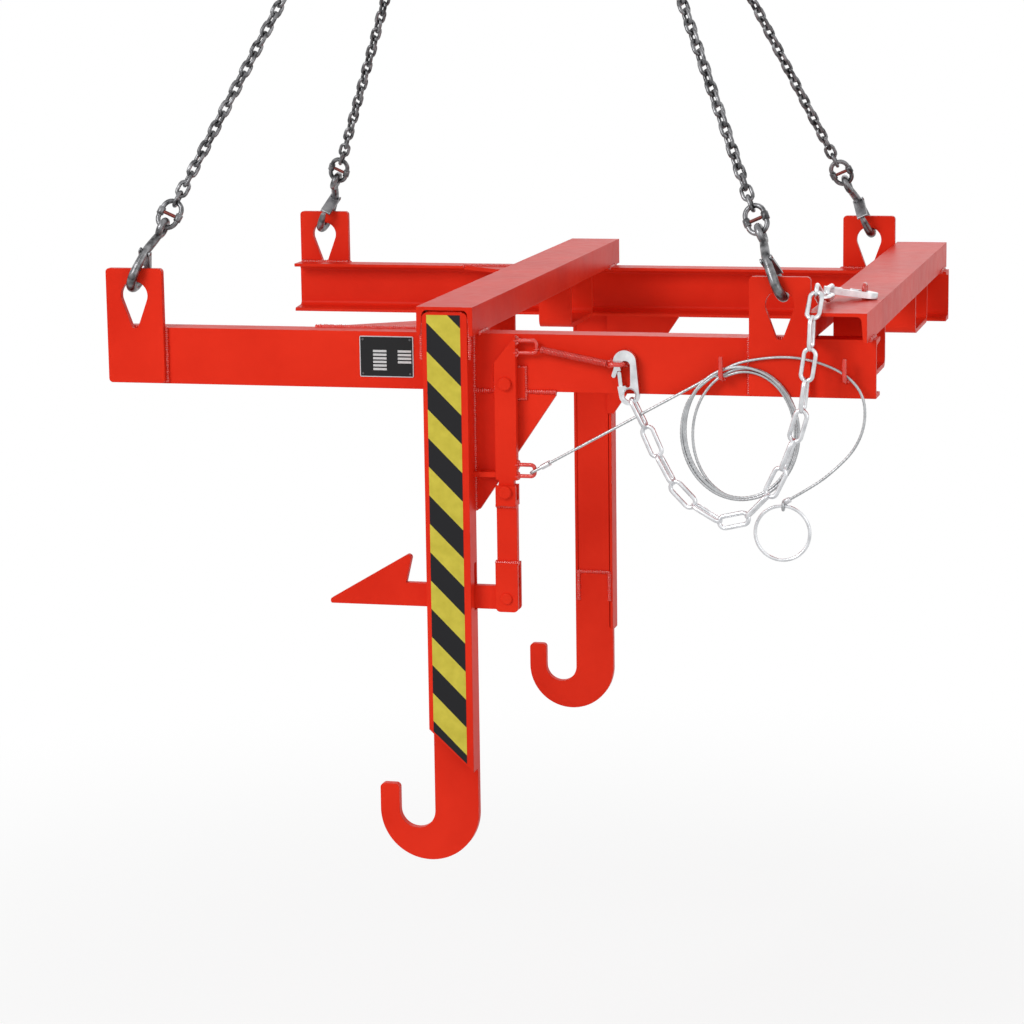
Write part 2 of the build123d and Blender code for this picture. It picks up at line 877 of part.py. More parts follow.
left_ahead = Vector(
    math.cos(math.radians(snap_left_tilt)), 0, math.sin(math.radians(snap_left_tilt)),
)
left_side = Vector(0, -1, 0).cross(left_ahead)
left_hang = Vector(right_leg_x, near_face - snap_plane, staple_z)
left_eye = left_hang - left_ahead * hang_x - left_side * hang_y
left_plane = Plane(origin=left_eye, x_dir=left_ahead, z_dir=(0, -1, 0))

# Safety chain: each link is hooked through the one before it
link_bend = chain_width / 2 - chain_wire_radius
link_half = chain_pitch / 2 + chain_wire_radius - link_bend
link_reach = link_half + link_bend
eye_seat = snap_eye_hole - chain_wire_radius - snap_eye_slack


def heading(turn, rise):
    level = math.cos(math.radians(rise))
    return Vector(
        level * math.cos(math.radians(turn)), level * math.sin(math.radians(turn)),
        math.sin(math.radians(rise)),
    )


def chain_links():
    runs = [(chain_first_turn, chain_rises[0])]
    runs += [(chain_turn, rise) for rise in chain_rises[1:]]
    runs += [(top_turn, rise) for rise in top_rises]
    links = []
    before = None
    for number, (turn, rise) in enumerate(runs):
        ahead = heading(turn, rise)
        side = heading(turn, 0).cross(Vector(0, 0, 1))
        on_edge = (number < len(chain_rises)) == (number % 2 == 0)
        if before is None:
            centre = left_eye + ahead * (eye_seat + link_reach)
        else:
            seat = (before[1] + ahead).normalized() * chain_seat
            if on_edge:
                centre = before[0] + before[1] * link_half + seat + ahead * link_reach
            else:
                centre = before[0] + before[1] * link_reach + seat + ahead * link_half
        normal = ahead.cross(side) if on_edge else side
        links.append((centre, ahead, normal))
        before = (centre, ahead)
    return links


links = chain_links()
chain_link = oval_link(chain_wire_radius, chain_pitch, chain_width, chain_sides)
with BuildPart() as safety_chain:
    for centre, ahead, normal in links:
        add(placed(chain_link, centre, ahead, normal), clean=False)
finish(safety_chain, "safety_chain")

right_eye = links[-1][0] + links[-1][1] * (link_reach + eye_seat)
right_fall = right_eye.Z - floor_line - member_top - contact_gap - snap_thickness / 2
right_pitch = math.degrees(math.asin(right_fall / (snap_length + snap_bow_radius)))
right_ahead = heading(snap_right_turn, -right_pitch)
right_side = heading(snap_right_turn + 90, 0)
right_plane = Plane(origin=right_eye, x_dir=right_ahead, z_dir=right_ahead.cross(right_side))

for side, plane in (("left", left_plane), ("right", right_plane)):
    with BuildPart() as carabiner:
        add(snap_body().moved(plane.location))
    finish(carabiner, f"carabiner_{side}")
    with BuildPart() as gate:
        add(snap_gate().moved(plane.location))
    finish(gate, f"carabiner_{side}_gate")

# Two staples hold the snap hooks: one on the near beam, one on the rear cross member
right_hang = right_plane.from_local_coords((hang_x, hang_y, 0))
staple_foot = floor_line + member_top
staple_head = staple_foot + staple_depth
second_y = right_hang.Y + staple_spacing
with BuildPart() as staples:
    add(rod(
        [(left_leg_x, near_face, staple_z), (left_leg_x, staple_y, staple_z),
         (right_leg_x, staple_y, staple_z), (right_leg_x, near_face, staple_z)],
        staple_rod_radius, staple_bend,
    ))
    add(rod(
        [(right_hang.X, right_hang.Y, staple_foot), (right_hang.X, right_hang.Y, staple_head),
         (right_hang.X, second_y, staple_head), (right_hang.X, second_y, staple_foot)],
        staple_rod_radius, staple_bend,
    ))
finish(staples, "staples")

# Rope pegs on the near beam: out of the face and bent upward
with BuildPart() as rope_pegs:
    for x in peg_positions:
        peg_z = floor_line + peg_foot
        peg_y = near_face - peg_depth
        add(rod(
            [(x, near_face, peg_z), (x, peg_y, peg_z), (x, peg_y, peg_z + peg_rise)],
            peg_radius, peg_bend,
        ))
finish(rope_pegs, "rope_pegs")

# The rope's own eye round the lever's eye, and its clamp
rope_eye = Vector(
    lever_right + rope_eye_reach - eye_rod_radius, eye_y, floor_line - rope_eye_drop,
)
rope_aim = Vector(peg_positions[0], eye_y, floor_line + rope_aim_height)
rope_line = (rope_aim - rope_eye).normalized()
rope_turn = rope_eye - rope_line * rope_eye_slack
loop_plane = Plane(origin=rope_turn, x_dir=rope_line, z_dir=rope_line.cross(Vector(0, 1, 0)))
with BuildPart() as rope_eye_loop:
    with BuildLine(loop_plane) as loop_route:
        strand = Line((rope_eye_length, -rope_eye_bend), (0, -rope_eye_bend))
        loop_turn = ThreePointArc(strand @ 1, (-rope_eye_bend, 0), (0, rope_eye_bend))
        Line(loop_turn @ 1, (rope_eye_length, rope_eye_bend))
    with BuildSketch(Plane(origin=loop_route.line @ 0, z_dir=loop_route.line % 0)):
        Circle(rope_radius)
    sweep()
finish(rope_eye_loop, "rope_eye_loop")

with BuildPart() as rope_clamp:
    with BuildSketch(Plane(
        origin=rope_turn + rope_line * rope_eye_length, x_dir=(0, 1, 0), z_dir=rope_line,
    )):
        SlotOverall(clamp_width, clamp_thickness)
    extrude(amount=clamp_length)
finish(rope_clamp, "rope_clamp")


# Rope stretches that lie free

def rope_radii(points):
    # Each bend takes what its two runs leave: 0.45 of the shorter one
    radii = []
    for before, here, after in zip(points, points[1:], points[2:]):
        arriving = Vector(*here) - Vector(*before)
        leaving = Vector(*after) - Vector(*here)
        half_turn = math.radians(arriving.get_angle(leaving) / 2)
        radii.append(0.45 * min(arriving.length, leaving.length) / math.tan(half_turn))
    return radii


def rope_tube(points):
    radii = rope_radii(points)
    with BuildPart() as tube:
        with BuildLine() as route:
            FilletPolyline(*points, radius=radii)
        with BuildSketch(Plane(origin=route.line @ 0, z_dir=route.line % 0)):
            Circle(rope_radius)
        sweep()
    section = math.pi * rope_radius ** 2
    print("rope radii", [round(radius) for radius in radii])
    length = sum(edge.length for edge in route.line.edges())
    print("rope volume over section times length", tube.part.volume / section / length)
    return tube.part


rope_y = near_face - rope_plane
lead_start = rope_turn + rope_line * (rope_eye_length + clamp_length + contact_gap)
lead_end = Vector(rope_lead_reach, rope_y, floor_line + rope_lead_height)
with BuildPart() as rope_lead:
    add(rod([lead_start, lead_end], rope_radius, 0))
finish(rope_lead, "rope_lead")

with BuildPart() as rope_hank:
    with BuildSketch(latch_plane(hank_back)):
        with Locations((hank_x, -hank_outer_drop)):
            Ellipse(hank_outer_radius, hank_outer_height)
        with Locations((hank_x, -hank_inner_drop)):
            Ellipse(hank_inner_radius, hank_inner_height, mode=Mode.SUBTRACT)
    extrude(amount=hank_thickness)
finish(rope_hank, "rope_hank")

loop_points = [
    (490, 55), (545, 68), (600, 72), (650, 62), (694, 42), (722, 8),
    (725, -40), (708, -84), (676, -118), (640, -148), (585.8, -179.6),
]
with BuildPart() as rope_loop:
    add(rope_tube([(x, rope_y, floor_line + z) for x, z in loop_points]))
finish(rope_loop, "rope_loop")

with BuildPart() as pull_ring:
    add(placed(
        ring(ring_radius, ring_wire_radius),
        (ring_x, rope_y, floor_line - ring_drop), (1, 0, 0), (0, -1, 0),
    ))
finish(pull_ring, "pull_ring")

# Sling: the master link hangs in the XZ plane, its two middle links cross it
master_bend = master_inner_width / 2 + master_wire_radius
master_foot = -master_inner_length - master_wire_radius
with BuildPart() as master_link:
    add(placed(
        oval_link(
            master_wire_radius, master_inner_length, master_inner_width + 4 * master_wire_radius,
            link_sides,
        ),
        (0, 0, -master_inner_length / 2), (0, 0, 1), (0, -1, 0),
    ))
finish(master_link, "master_link")

middle_bend = middle_inner_width / 2 + middle_wire_radius
middle_crowns = middle_inner_length + 2 * middle_wire_radius
crown_x = middle_wire_radius + middle_side_gap
crown_reach = master_bend - master_wire_radius - middle_wire_radius - contact_gap
crown_z = master_foot + master_bend - math.sqrt(crown_reach ** 2 - crown_x ** 2)
lug_bar_z = floor_line + lug_hole_height + lug_hole_radius
middle_starts = {}
middle_lines = {}
apexes = {}
with BuildPart() as middle_links:
    for end in (-1, 1):
        start = Vector(end * crown_x, 0, crown_z)
        line = (Vector(end * lug_x, 0, lug_bar_z) - start).normalized()
        apexes[end] = start + line * (middle_crowns - middle_bend)
        add(placed(
            oval_link(
                middle_wire_radius, middle_inner_length, middle_inner_width + 4 * middle_wire_radius,
                link_sides,
            ),
            start + line * (middle_crowns / 2), line, line.cross(Vector(0, 1, 0)),
        ))
finish(middle_links, "intermediate_links")

coupling_crowns = coupling_inner_length + 2 * coupling_wire_radius
coupling_link = oval_link(coupling_wire_radius, coupling_inner_length, coupling_width, chain_sides)
sling_link = oval_link(sling_wire_radius, sling_pitch, sling_width, chain_sides)
sling_crowns = sling_pitch + 2 * sling_wire_radius
wire_seat = coupling_wire_radius + sling_wire_radius + contact_gap
corners = {
    "near_left": (-1, -1), "near_right": (1, -1), "far_left": (-1, 1), "far_right": (1, 1),
}


def leg_plane(end, side):
    # Local x points outward across the frame, local y up the sling leg, z square to both
    bar = Vector(end * lug_x, side * (frame_width + lug_thickness) / 2, lug_bar_z)
    up = (apexes[end] - bar).normalized()
    out = Vector(0, side, 0)
    out = (out - up * out.dot(up)).normalized()
    return Plane(origin=bar + up * lug_bar_seat, x_dir=out, z_dir=out.cross(up))


lower_crown = eye_rise + eye_ring_radius - eye_ring_wire_radius - coupling_wire_radius - contact_gap
lower_coupling = lower_crown + coupling_crowns / 2
lower_link = lower_crown + coupling_crowns - wire_seat + sling_crowns / 2
upper_crown = middle_bend - middle_wire_radius - coupling_wire_radius - contact_gap
upper_coupling = upper_crown + coupling_crowns / 2
upper_link = upper_crown + coupling_crowns - wire_seat + sling_crowns / 2
chain_end = sling_crowns / 2 + sling_wire_radius + contact_gap

with BuildPart() as coupling_links:
    for end, side in corners.values():
        plane = leg_plane(end, side)
        reach = (apexes[end] - plane.origin).length
        for height in (lower_coupling, reach - upper_coupling):
            centre = plane.origin + plane.y_dir * height
            add(placed(coupling_link, centre, plane.y_dir, plane.x_dir), clean=False)
finish(coupling_links, "coupling_links")

with BuildPart() as sling_chains:
    for end, side in corners.values():
        plane = leg_plane(end, side)
        reach = (apexes[end] - plane.origin).length
        for height in (lower_link, reach - upper_link):
            centre = plane.origin + plane.y_dir * height
            add(placed(sling_link, centre, plane.y_dir, plane.z_dir), clean=False)
        start = lower_link + chain_end
        with BuildSketch(Plane(
            origin=plane.origin + plane.y_dir * start, x_dir=plane.x_dir, z_dir=plane.y_dir,
        )):
            Rectangle(sling_width, 2 * sling_wire_radius)
            Rectangle(2 * sling_wire_radius, sling_width)
        extrude(amount=reach - upper_link - chain_end - start)
finish(sling_chains, "sling_chains")


def sling_hook():
    with BuildPart() as hook:
        with BuildLine():
            FilletPolyline(
                (-bowl_radius, bowl_tip_rise), (-bowl_radius, -bowl_radius),
                (bowl_radius, -bowl_radius), (bowl_radius, bowl_back_rise),
                (0, eye_rise - eye_ring_radius),
                radius=[bowl_bend, bowl_bend, bowl_neck_bend],
            )
        with BuildSketch(Plane(origin=(-bowl_radius, bowl_tip_rise, 0), z_dir=(0, -1, 0))):
            RegularPolygon(bowl_wire_radius, link_sides, rotation=180 / link_sides)
        sweep()
        add(ring(eye_ring_radius, eye_ring_wire_radius).moved(Location((0, eye_rise, 0))))
        with BuildSketch():
            with Locations(flap_pivot):
                Circle(flap_pin_radius + running_gap)
        extrude(amount=2 * bowl_wire_radius, both=True, mode=Mode.SUBTRACT)
    return hook.part


def flap_shape(drop):
    with BuildSketch(Plane.XY, mode=Mode.PRIVATE) as shape:
        with Locations((flap_pivot[0], flap_pivot[1] - drop)):
            Circle(flap_pivot_radius)
        with Locations((flap_tip[0], flap_tip[1] - drop)):
            Circle(flap_tip_radius)
        make_hull()
    return shape.sketch


def sling_flap():
    inside = bowl_wire_radius + contact_gap
    with BuildPart() as flap:
        extrude(flap_shape(0), amount=inside + flap_skin, both=True)
        extrude(flap_shape(flap_skin), amount=inside, both=True, mode=Mode.SUBTRACT)
        with BuildSketch():
            with Locations((bowl_radius, flap_pivot[1])):
                Rectangle(2 * inside, 4 * flap_pivot_radius)
        extrude(amount=inside, both=True, mode=Mode.SUBTRACT)
        with BuildSketch():
            with Locations(flap_pivot):
                Circle(flap_pin_radius)
        extrude(amount=inside + flap_skin, both=True)
    return flap.part


for corner, (end, side) in corners.items():
    plane = leg_plane(end, side)
    with BuildPart() as hook:
        add(sling_hook().moved(plane.location))
    finish(hook, f"sling_hook_{corner}")
    with BuildPart() as flap:
        add(sling_flap().moved(plane.location))
    finish(flap, f"sling_latch_{corner}")
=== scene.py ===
from collections import namedtuple
import json
import math
import bpy
import numpy as np
from mathutils import Matrix, Quaternion, Vector


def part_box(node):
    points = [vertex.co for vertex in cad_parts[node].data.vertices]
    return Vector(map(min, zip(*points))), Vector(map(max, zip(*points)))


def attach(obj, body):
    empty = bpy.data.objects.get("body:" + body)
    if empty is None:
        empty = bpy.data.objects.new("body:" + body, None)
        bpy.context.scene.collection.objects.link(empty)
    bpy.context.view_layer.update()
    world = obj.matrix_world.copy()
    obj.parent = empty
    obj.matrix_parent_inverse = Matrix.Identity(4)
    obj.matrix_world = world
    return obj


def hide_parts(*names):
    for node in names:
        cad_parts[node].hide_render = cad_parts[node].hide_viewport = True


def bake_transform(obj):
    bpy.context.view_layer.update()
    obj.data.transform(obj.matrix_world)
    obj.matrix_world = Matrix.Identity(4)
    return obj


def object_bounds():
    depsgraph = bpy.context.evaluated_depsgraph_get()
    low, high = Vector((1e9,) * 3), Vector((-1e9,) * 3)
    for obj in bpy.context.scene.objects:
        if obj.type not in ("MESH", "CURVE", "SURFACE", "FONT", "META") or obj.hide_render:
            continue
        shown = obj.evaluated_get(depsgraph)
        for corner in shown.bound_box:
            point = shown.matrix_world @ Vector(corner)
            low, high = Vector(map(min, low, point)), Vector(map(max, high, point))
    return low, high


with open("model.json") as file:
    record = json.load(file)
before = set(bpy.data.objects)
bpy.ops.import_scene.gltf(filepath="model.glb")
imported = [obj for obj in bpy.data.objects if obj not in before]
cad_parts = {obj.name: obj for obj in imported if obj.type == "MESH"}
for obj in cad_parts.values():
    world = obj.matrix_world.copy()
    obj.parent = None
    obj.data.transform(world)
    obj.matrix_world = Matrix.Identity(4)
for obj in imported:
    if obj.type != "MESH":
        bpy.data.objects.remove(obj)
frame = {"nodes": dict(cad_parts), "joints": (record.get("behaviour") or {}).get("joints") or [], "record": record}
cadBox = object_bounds()
scene = bpy.context.scene
mm = 0.001
xAxis, yAxis, zAxis = Vector((1, 0, 0)), Vector((0, 1, 0)), Vector((0, 0, 1))
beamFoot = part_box("near_beam")[0].z
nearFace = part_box("near_beam")[0].y
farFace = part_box("far_beam")[1].y
beamSides = {"near": (nearFace, -1), "far": (farFace, 1)}  # a beam's outer face, and the way out along Y


def place(x, depth, height):
    # a point given in millimetres by X, depth in front of the near beam and height over its foot
    return Vector((x * mm, nearFace - depth * mm, beamFoot + height * mm))


# camera: where the photographer stood, with no shift and no depth of field

cameraSettings = {
    "place": (1.42267, -5.85859, -0.83525),
    "yaw": 13.982,
    "pitch": 10.42,
    "roll": 0.774,
    "lens": 111.635,
    "sensor": 36.0,
    "clipEnd": 100,
}


def makeCamera(settings):
    yaw, pitch, roll = (math.radians(settings[name]) for name in ("yaw", "pitch", "roll"))
    forward = Vector((-math.sin(yaw) * math.cos(pitch), math.cos(yaw) * math.cos(pitch), -math.sin(pitch)))
    right = Vector((math.cos(yaw), math.sin(yaw), 0))
    down = forward.cross(right)
    tiltedRight = right * math.cos(roll) + down * math.sin(roll)
    tiltedDown = down * math.cos(roll) - right * math.sin(roll)
    turn = Matrix((tiltedRight, -tiltedDown, -forward)).transposed()
    data = bpy.data.cameras.new("photoCamera")
    data.lens = settings["lens"]
    data.sensor_width = settings["sensor"]
    data.sensor_fit = "HORIZONTAL"
    data.clip_end = settings["clipEnd"]
    camera = bpy.data.objects.new("photoCamera", data)
    camera.matrix_world = Matrix.Translation(settings["place"]) @ turn.to_4x4()
    scene.collection.objects.link(camera)
    scene.camera = camera


makeCamera(cameraSettings)
print("camera placed")


# nodes, for materials, the world and Geometry Nodes alike

def addNode(tree, kind, inputs=None, **settings):
    # settings come first, because some of them show or hide inputs
    node = tree.nodes.new(kind)
    for name, value in settings.items():
        setattr(node, name, value)
    for name, value in (inputs or {}).items():
        if isinstance(value, bpy.types.NodeSocket):
            tree.links.new(value, node.inputs[name])
        else:
            node.inputs[name].default_value = value
    return node


def mathNode(tree, operation, first, second=0.0):
    return addNode(tree, "ShaderNodeMath", {0: first, 1: second}, operation=operation).outputs[0]


def typed(sockets, name, kind):
    # a node that works in several types has a socket of the same name for each
    return next(socket for socket in sockets if socket.name == name and socket.type == kind)


# materials: each one is procedural and reads object coordinates

class Finish:
    # a material under construction, with short names for the nodes that all of them use

    def __init__(self, name):
        self.material = bpy.data.materials.new(name)
        self.material.use_nodes = True
        self.tree = self.material.node_tree
        self.shader = self.tree.nodes["Principled BSDF"]
        self.coordinates = self.add("ShaderNodeTexCoord").outputs["Object"]

    def add(self, kind, inputs=None, **settings):
        return addNode(self.tree, kind, inputs, **settings)

    def math(self, operation, first, second=0.0):
        return mathNode(self.tree, operation, first, second)

    def within(self, value, start, stop):
        above = self.math("GREATER_THAN", value, start)
        return self.math("MULTIPLY", above, self.math("LESS_THAN", value, stop))

    def splitPlace(self):
        return self.add("ShaderNodeSeparateXYZ", {"Vector": self.coordinates}).outputs

    def noise(self, scale, detail=3.0):
        inputs = {"Vector": self.coordinates, "Scale": scale, "Detail": detail}
        return self.add("ShaderNodeTexNoise", inputs).outputs["Fac"]

    def span(self, value, low, high):
        inputs = {"Value": value, "To Min": low, "To Max": high}
        return self.add("ShaderNodeMapRange", inputs).outputs["Result"]

    def ramp(self, value, dark, light, ends=(0.3, 0.7)):
        node = self.add("ShaderNodeValToRGB", {"Fac": value})
        for element, position, colour in zip(node.color_ramp.elements, ends, (dark, light)):
            element.position = position
            element.color = (*colour, 1)
        return node.outputs["Color"]

    def mix(self, factor, first, second):
        node = self.add("ShaderNodeMix", {"Factor": factor}, data_type="RGBA")
        for name, value in (("A", first), ("B", second)):
            socket = typed(node.inputs, name, "RGBA")
            if isinstance(value, tuple):
                socket.default_value = (*value, 1)
            else:
                self.tree.links.new(value, socket)
        return typed(node.outputs, "Result", "RGBA")

    def bump(self, height, depth, strength, edge=None):
        # edge is the radius at which sharp edges catch the light
        node = self.add("ShaderNodeBump", {"Height": height, "Distance": depth, "Strength": strength})
        if edge:
            rounded = self.add("ShaderNodeBevel", {"Radius": edge}, samples=4)
            self.tree.links.new(rounded.outputs["Normal"], node.inputs["Normal"])
        self.tree.links.new(node.outputs["Normal"], self.shader.inputs["Normal"])

    def shade(self, colour, roughness, evenValues):
        # colour and roughness vary over the surface, the other values are the same all over
        self.tree.links.new(colour, self.shader.inputs["Base Color"])
        self.tree.links.new(roughness, self.shader.inputs["Roughness"])
        for name, value in evenValues.items():
            self.shader.inputs[name].default_value = value
        return self.material


redPaint = {
    "dark": (0.72, 0.023, 0.008), "light": (0.84, 0.033, 0.012), "cloudScale": 6.0, "cloudDetail": 5.0,
    "rough": (0.28, 0.42), "roughScale": 38.0, "roughDetail": 4.0,
    "peelScale": 420.0, "peelDetail": 2.0, "peelDepth": 0.0005, "peelStrength": 0.3, "edge": 0.0012,
    "shader": {"Metallic": 0.0, "IOR": 1.45, "Specular IOR Level": 0.08},
}
# the same red, wet and glossy where it runs together on weld beads and bent rods
glossyRed = {
    "dark": (0.66, 0.020, 0.008), "light": (0.82, 0.031, 0.012), "cloudScale": 90.0, "cloudDetail": 4.0,
    "rough": (0.1, 0.26), "roughScale": 160.0, "roughDetail": 3.0,
    "peelScale": 500.0, "peelDetail": 2.0, "peelDepth": 0.0006, "peelStrength": 0.5, "edge": None,
    "shader": {"Metallic": 0.0, "IOR": 1.5, "Specular IOR Level": 0.9},
}


def makePaint(name, form):
    finish = Finish(name)
    cloud = finish.noise(form["cloudScale"], form["cloudDetail"])
    wear = finish.noise(form["roughScale"], form["roughDetail"])
    peel = finish.noise(form["peelScale"], form["peelDetail"])
    finish.bump(peel, form["peelDepth"], form["peelStrength"], form["edge"])
    return finish.shade(finish.ramp(cloud, form["dark"], form["light"]), finish.span(wear, *form["rough"]),
                        form["shader"])


metals = {
    "rivet": {"name": "rivetMetal", "dark": (0.10, 0.10, 0.10), "light": (0.16, 0.16, 0.17),
              "rough": 0.34, "metallic": 1.0, "grain": 60.0, "dent": 0.0002},
    "zinc_steel": {"name": "zincSteel", "dark": (0.62, 0.63, 0.65), "light": (0.84, 0.85, 0.87),
                   "rough": 0.3, "metallic": 1.0, "grain": 60.0, "dent": 0.0001},
    "wire_rope": {"name": "ropeWire", "dark": (0.40, 0.41, 0.42), "light": (0.55, 0.56, 0.57),
                  "rough": 0.4, "metallic": 0.85, "grain": 60.0, "dent": 0.0001},
    "clamp_aluminium": {"name": "clampAluminium", "dark": (0.62, 0.62, 0.64), "light": (0.76, 0.76, 0.78),
                        "rough": 0.38, "metallic": 1.0, "grain": 90.0, "dent": 0.0003},
    # sling steel: its wide dark-to-light mottling is painted reflection, the contrast that dark surroundings would
    # give
    "sling_steel": {"name": "slingSteelPaintedReflection", "dark": (0.035, 0.035, 0.037), "light": (0.30, 0.30, 0.31),
                    "rough": 0.3, "metallic": 0.85, "grain": 70.0, "dent": 0.0003},
    "latch_steel": {"name": "latchSteel", "dark": (0.20, 0.20, 0.21), "light": (0.33, 0.33, 0.34),
                    "rough": 0.4, "metallic": 0.9, "grain": 75.0, "dent": 0.0002},
}
pinMetal = {"name": "pinRed", "dark": (0.13, 0.02, 0.014), "light": (0.24, 0.03, 0.02),
            "rough": 0.42, "metallic": 0.3, "grain": 70.0, "dent": 0.0002}
# what all the metals share: finer patterns than the grain for roughness and dents, and how far roughness strays
metalTexture = {"ends": (0.32, 0.68), "cloudDetail": 6.0, "smoother": 0.08, "rougher": 0.1,
                "roughFiner": 2.3, "roughDetail": 4.0, "dentFiner": 9.0, "dentDetail": 3.0, "dentStrength": 0.5}


def makeMetal(name, dark, light, rough, metallic, grain, dent):
    finish = Finish(name)
    shared = metalTexture
    cloud = finish.noise(grain, shared["cloudDetail"])
    wear = finish.noise(grain * shared["roughFiner"], shared["roughDetail"])
    dents = finish.noise(grain * shared["dentFiner"], shared["dentDetail"])
    finish.bump(dents, dent, shared["dentStrength"])
    return finish.shade(finish.ramp(cloud, dark, light, shared["ends"]),
                        finish.span(wear, rough - shared["smoother"], rough + shared["rougher"]),
                        {"Metallic": metallic})


hazardTape = {
    "period": 101 * mm,  # height of one black and one yellow stripe
    "yellowShare": 0.5,
    "slant": 1.0,
    "offset": 10.119,  # puts the highest stripe where the photo shows it
    "yellow": ((0.56, 0.47, 0.045), (0.66, 0.56, 0.062)), "black": (0.008, 0.008, 0.010),
    "dustScale": 60.0, "dustDetail": 4.0,
    "rough": (0.38, 0.52), "roughScale": 90.0,
    "grainScale": 300.0, "grainDetail": 2.0, "grainDepth": 0.0002, "grainStrength": 0.3,
    "shader": {"Metallic": 0.0, "Specular IOR Level": 0.25},
}


def makeHazardTape(form):
    # stripes that fall to the right
    finish = Finish("hazardTape")
    split = finish.splitPlace()
    along = finish.math("ADD", split["Z"], finish.math("MULTIPLY", split["X"], form["slant"]))
    shifted = finish.math("ADD", along, form["offset"])
    phase = finish.math("FRACT", finish.math("DIVIDE", shifted, form["period"]))
    yellow = finish.ramp(finish.noise(form["dustScale"], form["dustDetail"]), *form["yellow"])
    colour = finish.mix(finish.math("GREATER_THAN", phase, form["yellowShare"]), yellow, form["black"])
    grain = finish.noise(form["grainScale"], form["grainDetail"])
    finish.bump(grain, form["grainDepth"], form["grainStrength"])
    return finish.shade(colour, finish.span(finish.noise(form["roughScale"]), *form["rough"]), form["shader"])


typePlate = {
    "rim": 1.5 * mm,
    "columns": [(0.25, 0.50, 0.34, 6), (0.71, 0.96, 0.34, 4)],  # left, right and top as shares, and rows
    "rowGap": 0.088,
    "rowShare": 0.62,
    "enamel": (0.008, 0.008, 0.009), "fields": (0.62, 0.62, 0.62), "bare": (0.58, 0.58, 0.60),
    "rough": (0.3, 0.42), "roughScale": 80.0, "fieldDepth": 0.0002, "fieldStrength": 0.5,
    "shader": {"Metallic": 0.1, "Specular IOR Level": 0.3},
}


def makeTypePlate(form):
    # black enamel with a bare rim and blank fields for data that isn't filled in
    finish = Finish("typePlateFace")
    low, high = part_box("type_plate")
    size = high - low
    split = finish.splitPlace()
    x = finish.math("DIVIDE", finish.math("SUBTRACT", split["X"], low.x), size.x)
    down = finish.math("DIVIDE", finish.math("SUBTRACT", high.z, split["Z"]), size.z)
    rimX, rimZ = form["rim"] / size.x, form["rim"] / size.z
    face = finish.math("MULTIPLY", finish.within(x, rimX, 1 - rimX), finish.within(down, rimZ, 1 - rimZ))
    fields = None
    for left, right, top, rows in form["columns"]:
        step = finish.math("DIVIDE", finish.math("SUBTRACT", down, top), form["rowGap"])
        line = finish.math("LESS_THAN", finish.math("FRACT", step), form["rowShare"])
        column = finish.math("MULTIPLY", finish.within(x, left, right), finish.within(step, 0.0, rows))
        block = finish.math("MULTIPLY", column, line)
        fields = finish.math("MAXIMUM", fields, block) if fields else block
    enamel = finish.mix(fields, form["enamel"], form["fields"])
    finish.bump(fields, form["fieldDepth"], form["fieldStrength"])
    return finish.shade(finish.mix(face, form["bare"], enamel),
                        finish.span(finish.noise(form["roughScale"]), *form["rough"]), form["shader"])


finishes = {slotName: makeMetal(**form) for slotName, form in metals.items()}
finishes["red_paint"] = makePaint("redPaint", redPaint)
finishes["black_plate"] = makeTypePlate(typePlate)
finishes["hazard_tape"] = makeHazardTape(hazardTape)
weldPaint = makePaint("weldPaint", glossyRed)
pinRed = makeMetal(**pinMetal)

bentRods = ("lever_eyes", "staples", "rope_pegs")
slotOfNode = {entry["node"]: entry["material_slot"] for entry in frame["record"]["subparts"]}
for nodeName, node in frame["nodes"].items():
    node.data.materials.clear()
    node.data.materials.append(weldPaint if nodeName in bentRods else finishes[slotOfNode[nodeName]])
print("finishes made", len(finishes))


# helpers for meshes

sharpFrom = {"swept": 50, "grown": 60}  # degrees between faces, from where an edge stays sharp


def newPiece(name, mesh, slotName, replaced=(), material=None):
    piece = bpy.data.objects.new(name, mesh)
    scene.collection.objects.link(piece)
    mesh.materials.clear()
    mesh.materials.append(material or finishes[slotName])
    if replaced:
        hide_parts(*replaced)
    return piece


def addPiece(name, mesh, slotName, body, replaced=(), material=None):
    piece = newPiece(name, mesh, slotName, replaced, material)
    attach(piece, body)
    return piece


def smooth(mesh, angle):
    mesh.shade_smooth()
    mesh.set_sharp_from_angle(angle=math.radians(angle))
    return mesh


def meshOf(name, vertices, faces):
    mesh = bpy.data.meshes.new(name)
    mesh.from_pydata([tuple(v) for v in vertices], [], faces)
    mesh.update()
    return smooth(mesh, sharpFrom["swept"])


def directions(points, closed):
    # the line's direction at each point, and a side to it that turns no more than it has to
    count = len(points)
    tangents = []
    for i in range(count):
        before = points[i - 1] if (i or closed) else points[0]
        after = points[(i + 1) % count] if (i < count - 1 or closed) else points[-1]
        tangents.append((after - before).normalized())
    sideways = [tangents[0].orthogonal().normalized()]
    for before, tangent in zip(tangents, tangents[1:]):
        side = before.rotation_difference(tangent) @ sideways[-1]
        sideways.append((side - tangent * side.dot(tangent)).normalized())
    drift = 0.0
    if closed:
        last = tangents[-1].rotation_difference(tangents[0]) @ sideways[-1]
        drift = last.angle(sideways[0]) * (1 if last.cross(sideways[0]).dot(tangents[0]) > 0 else -1)
    return tangents, sideways, drift


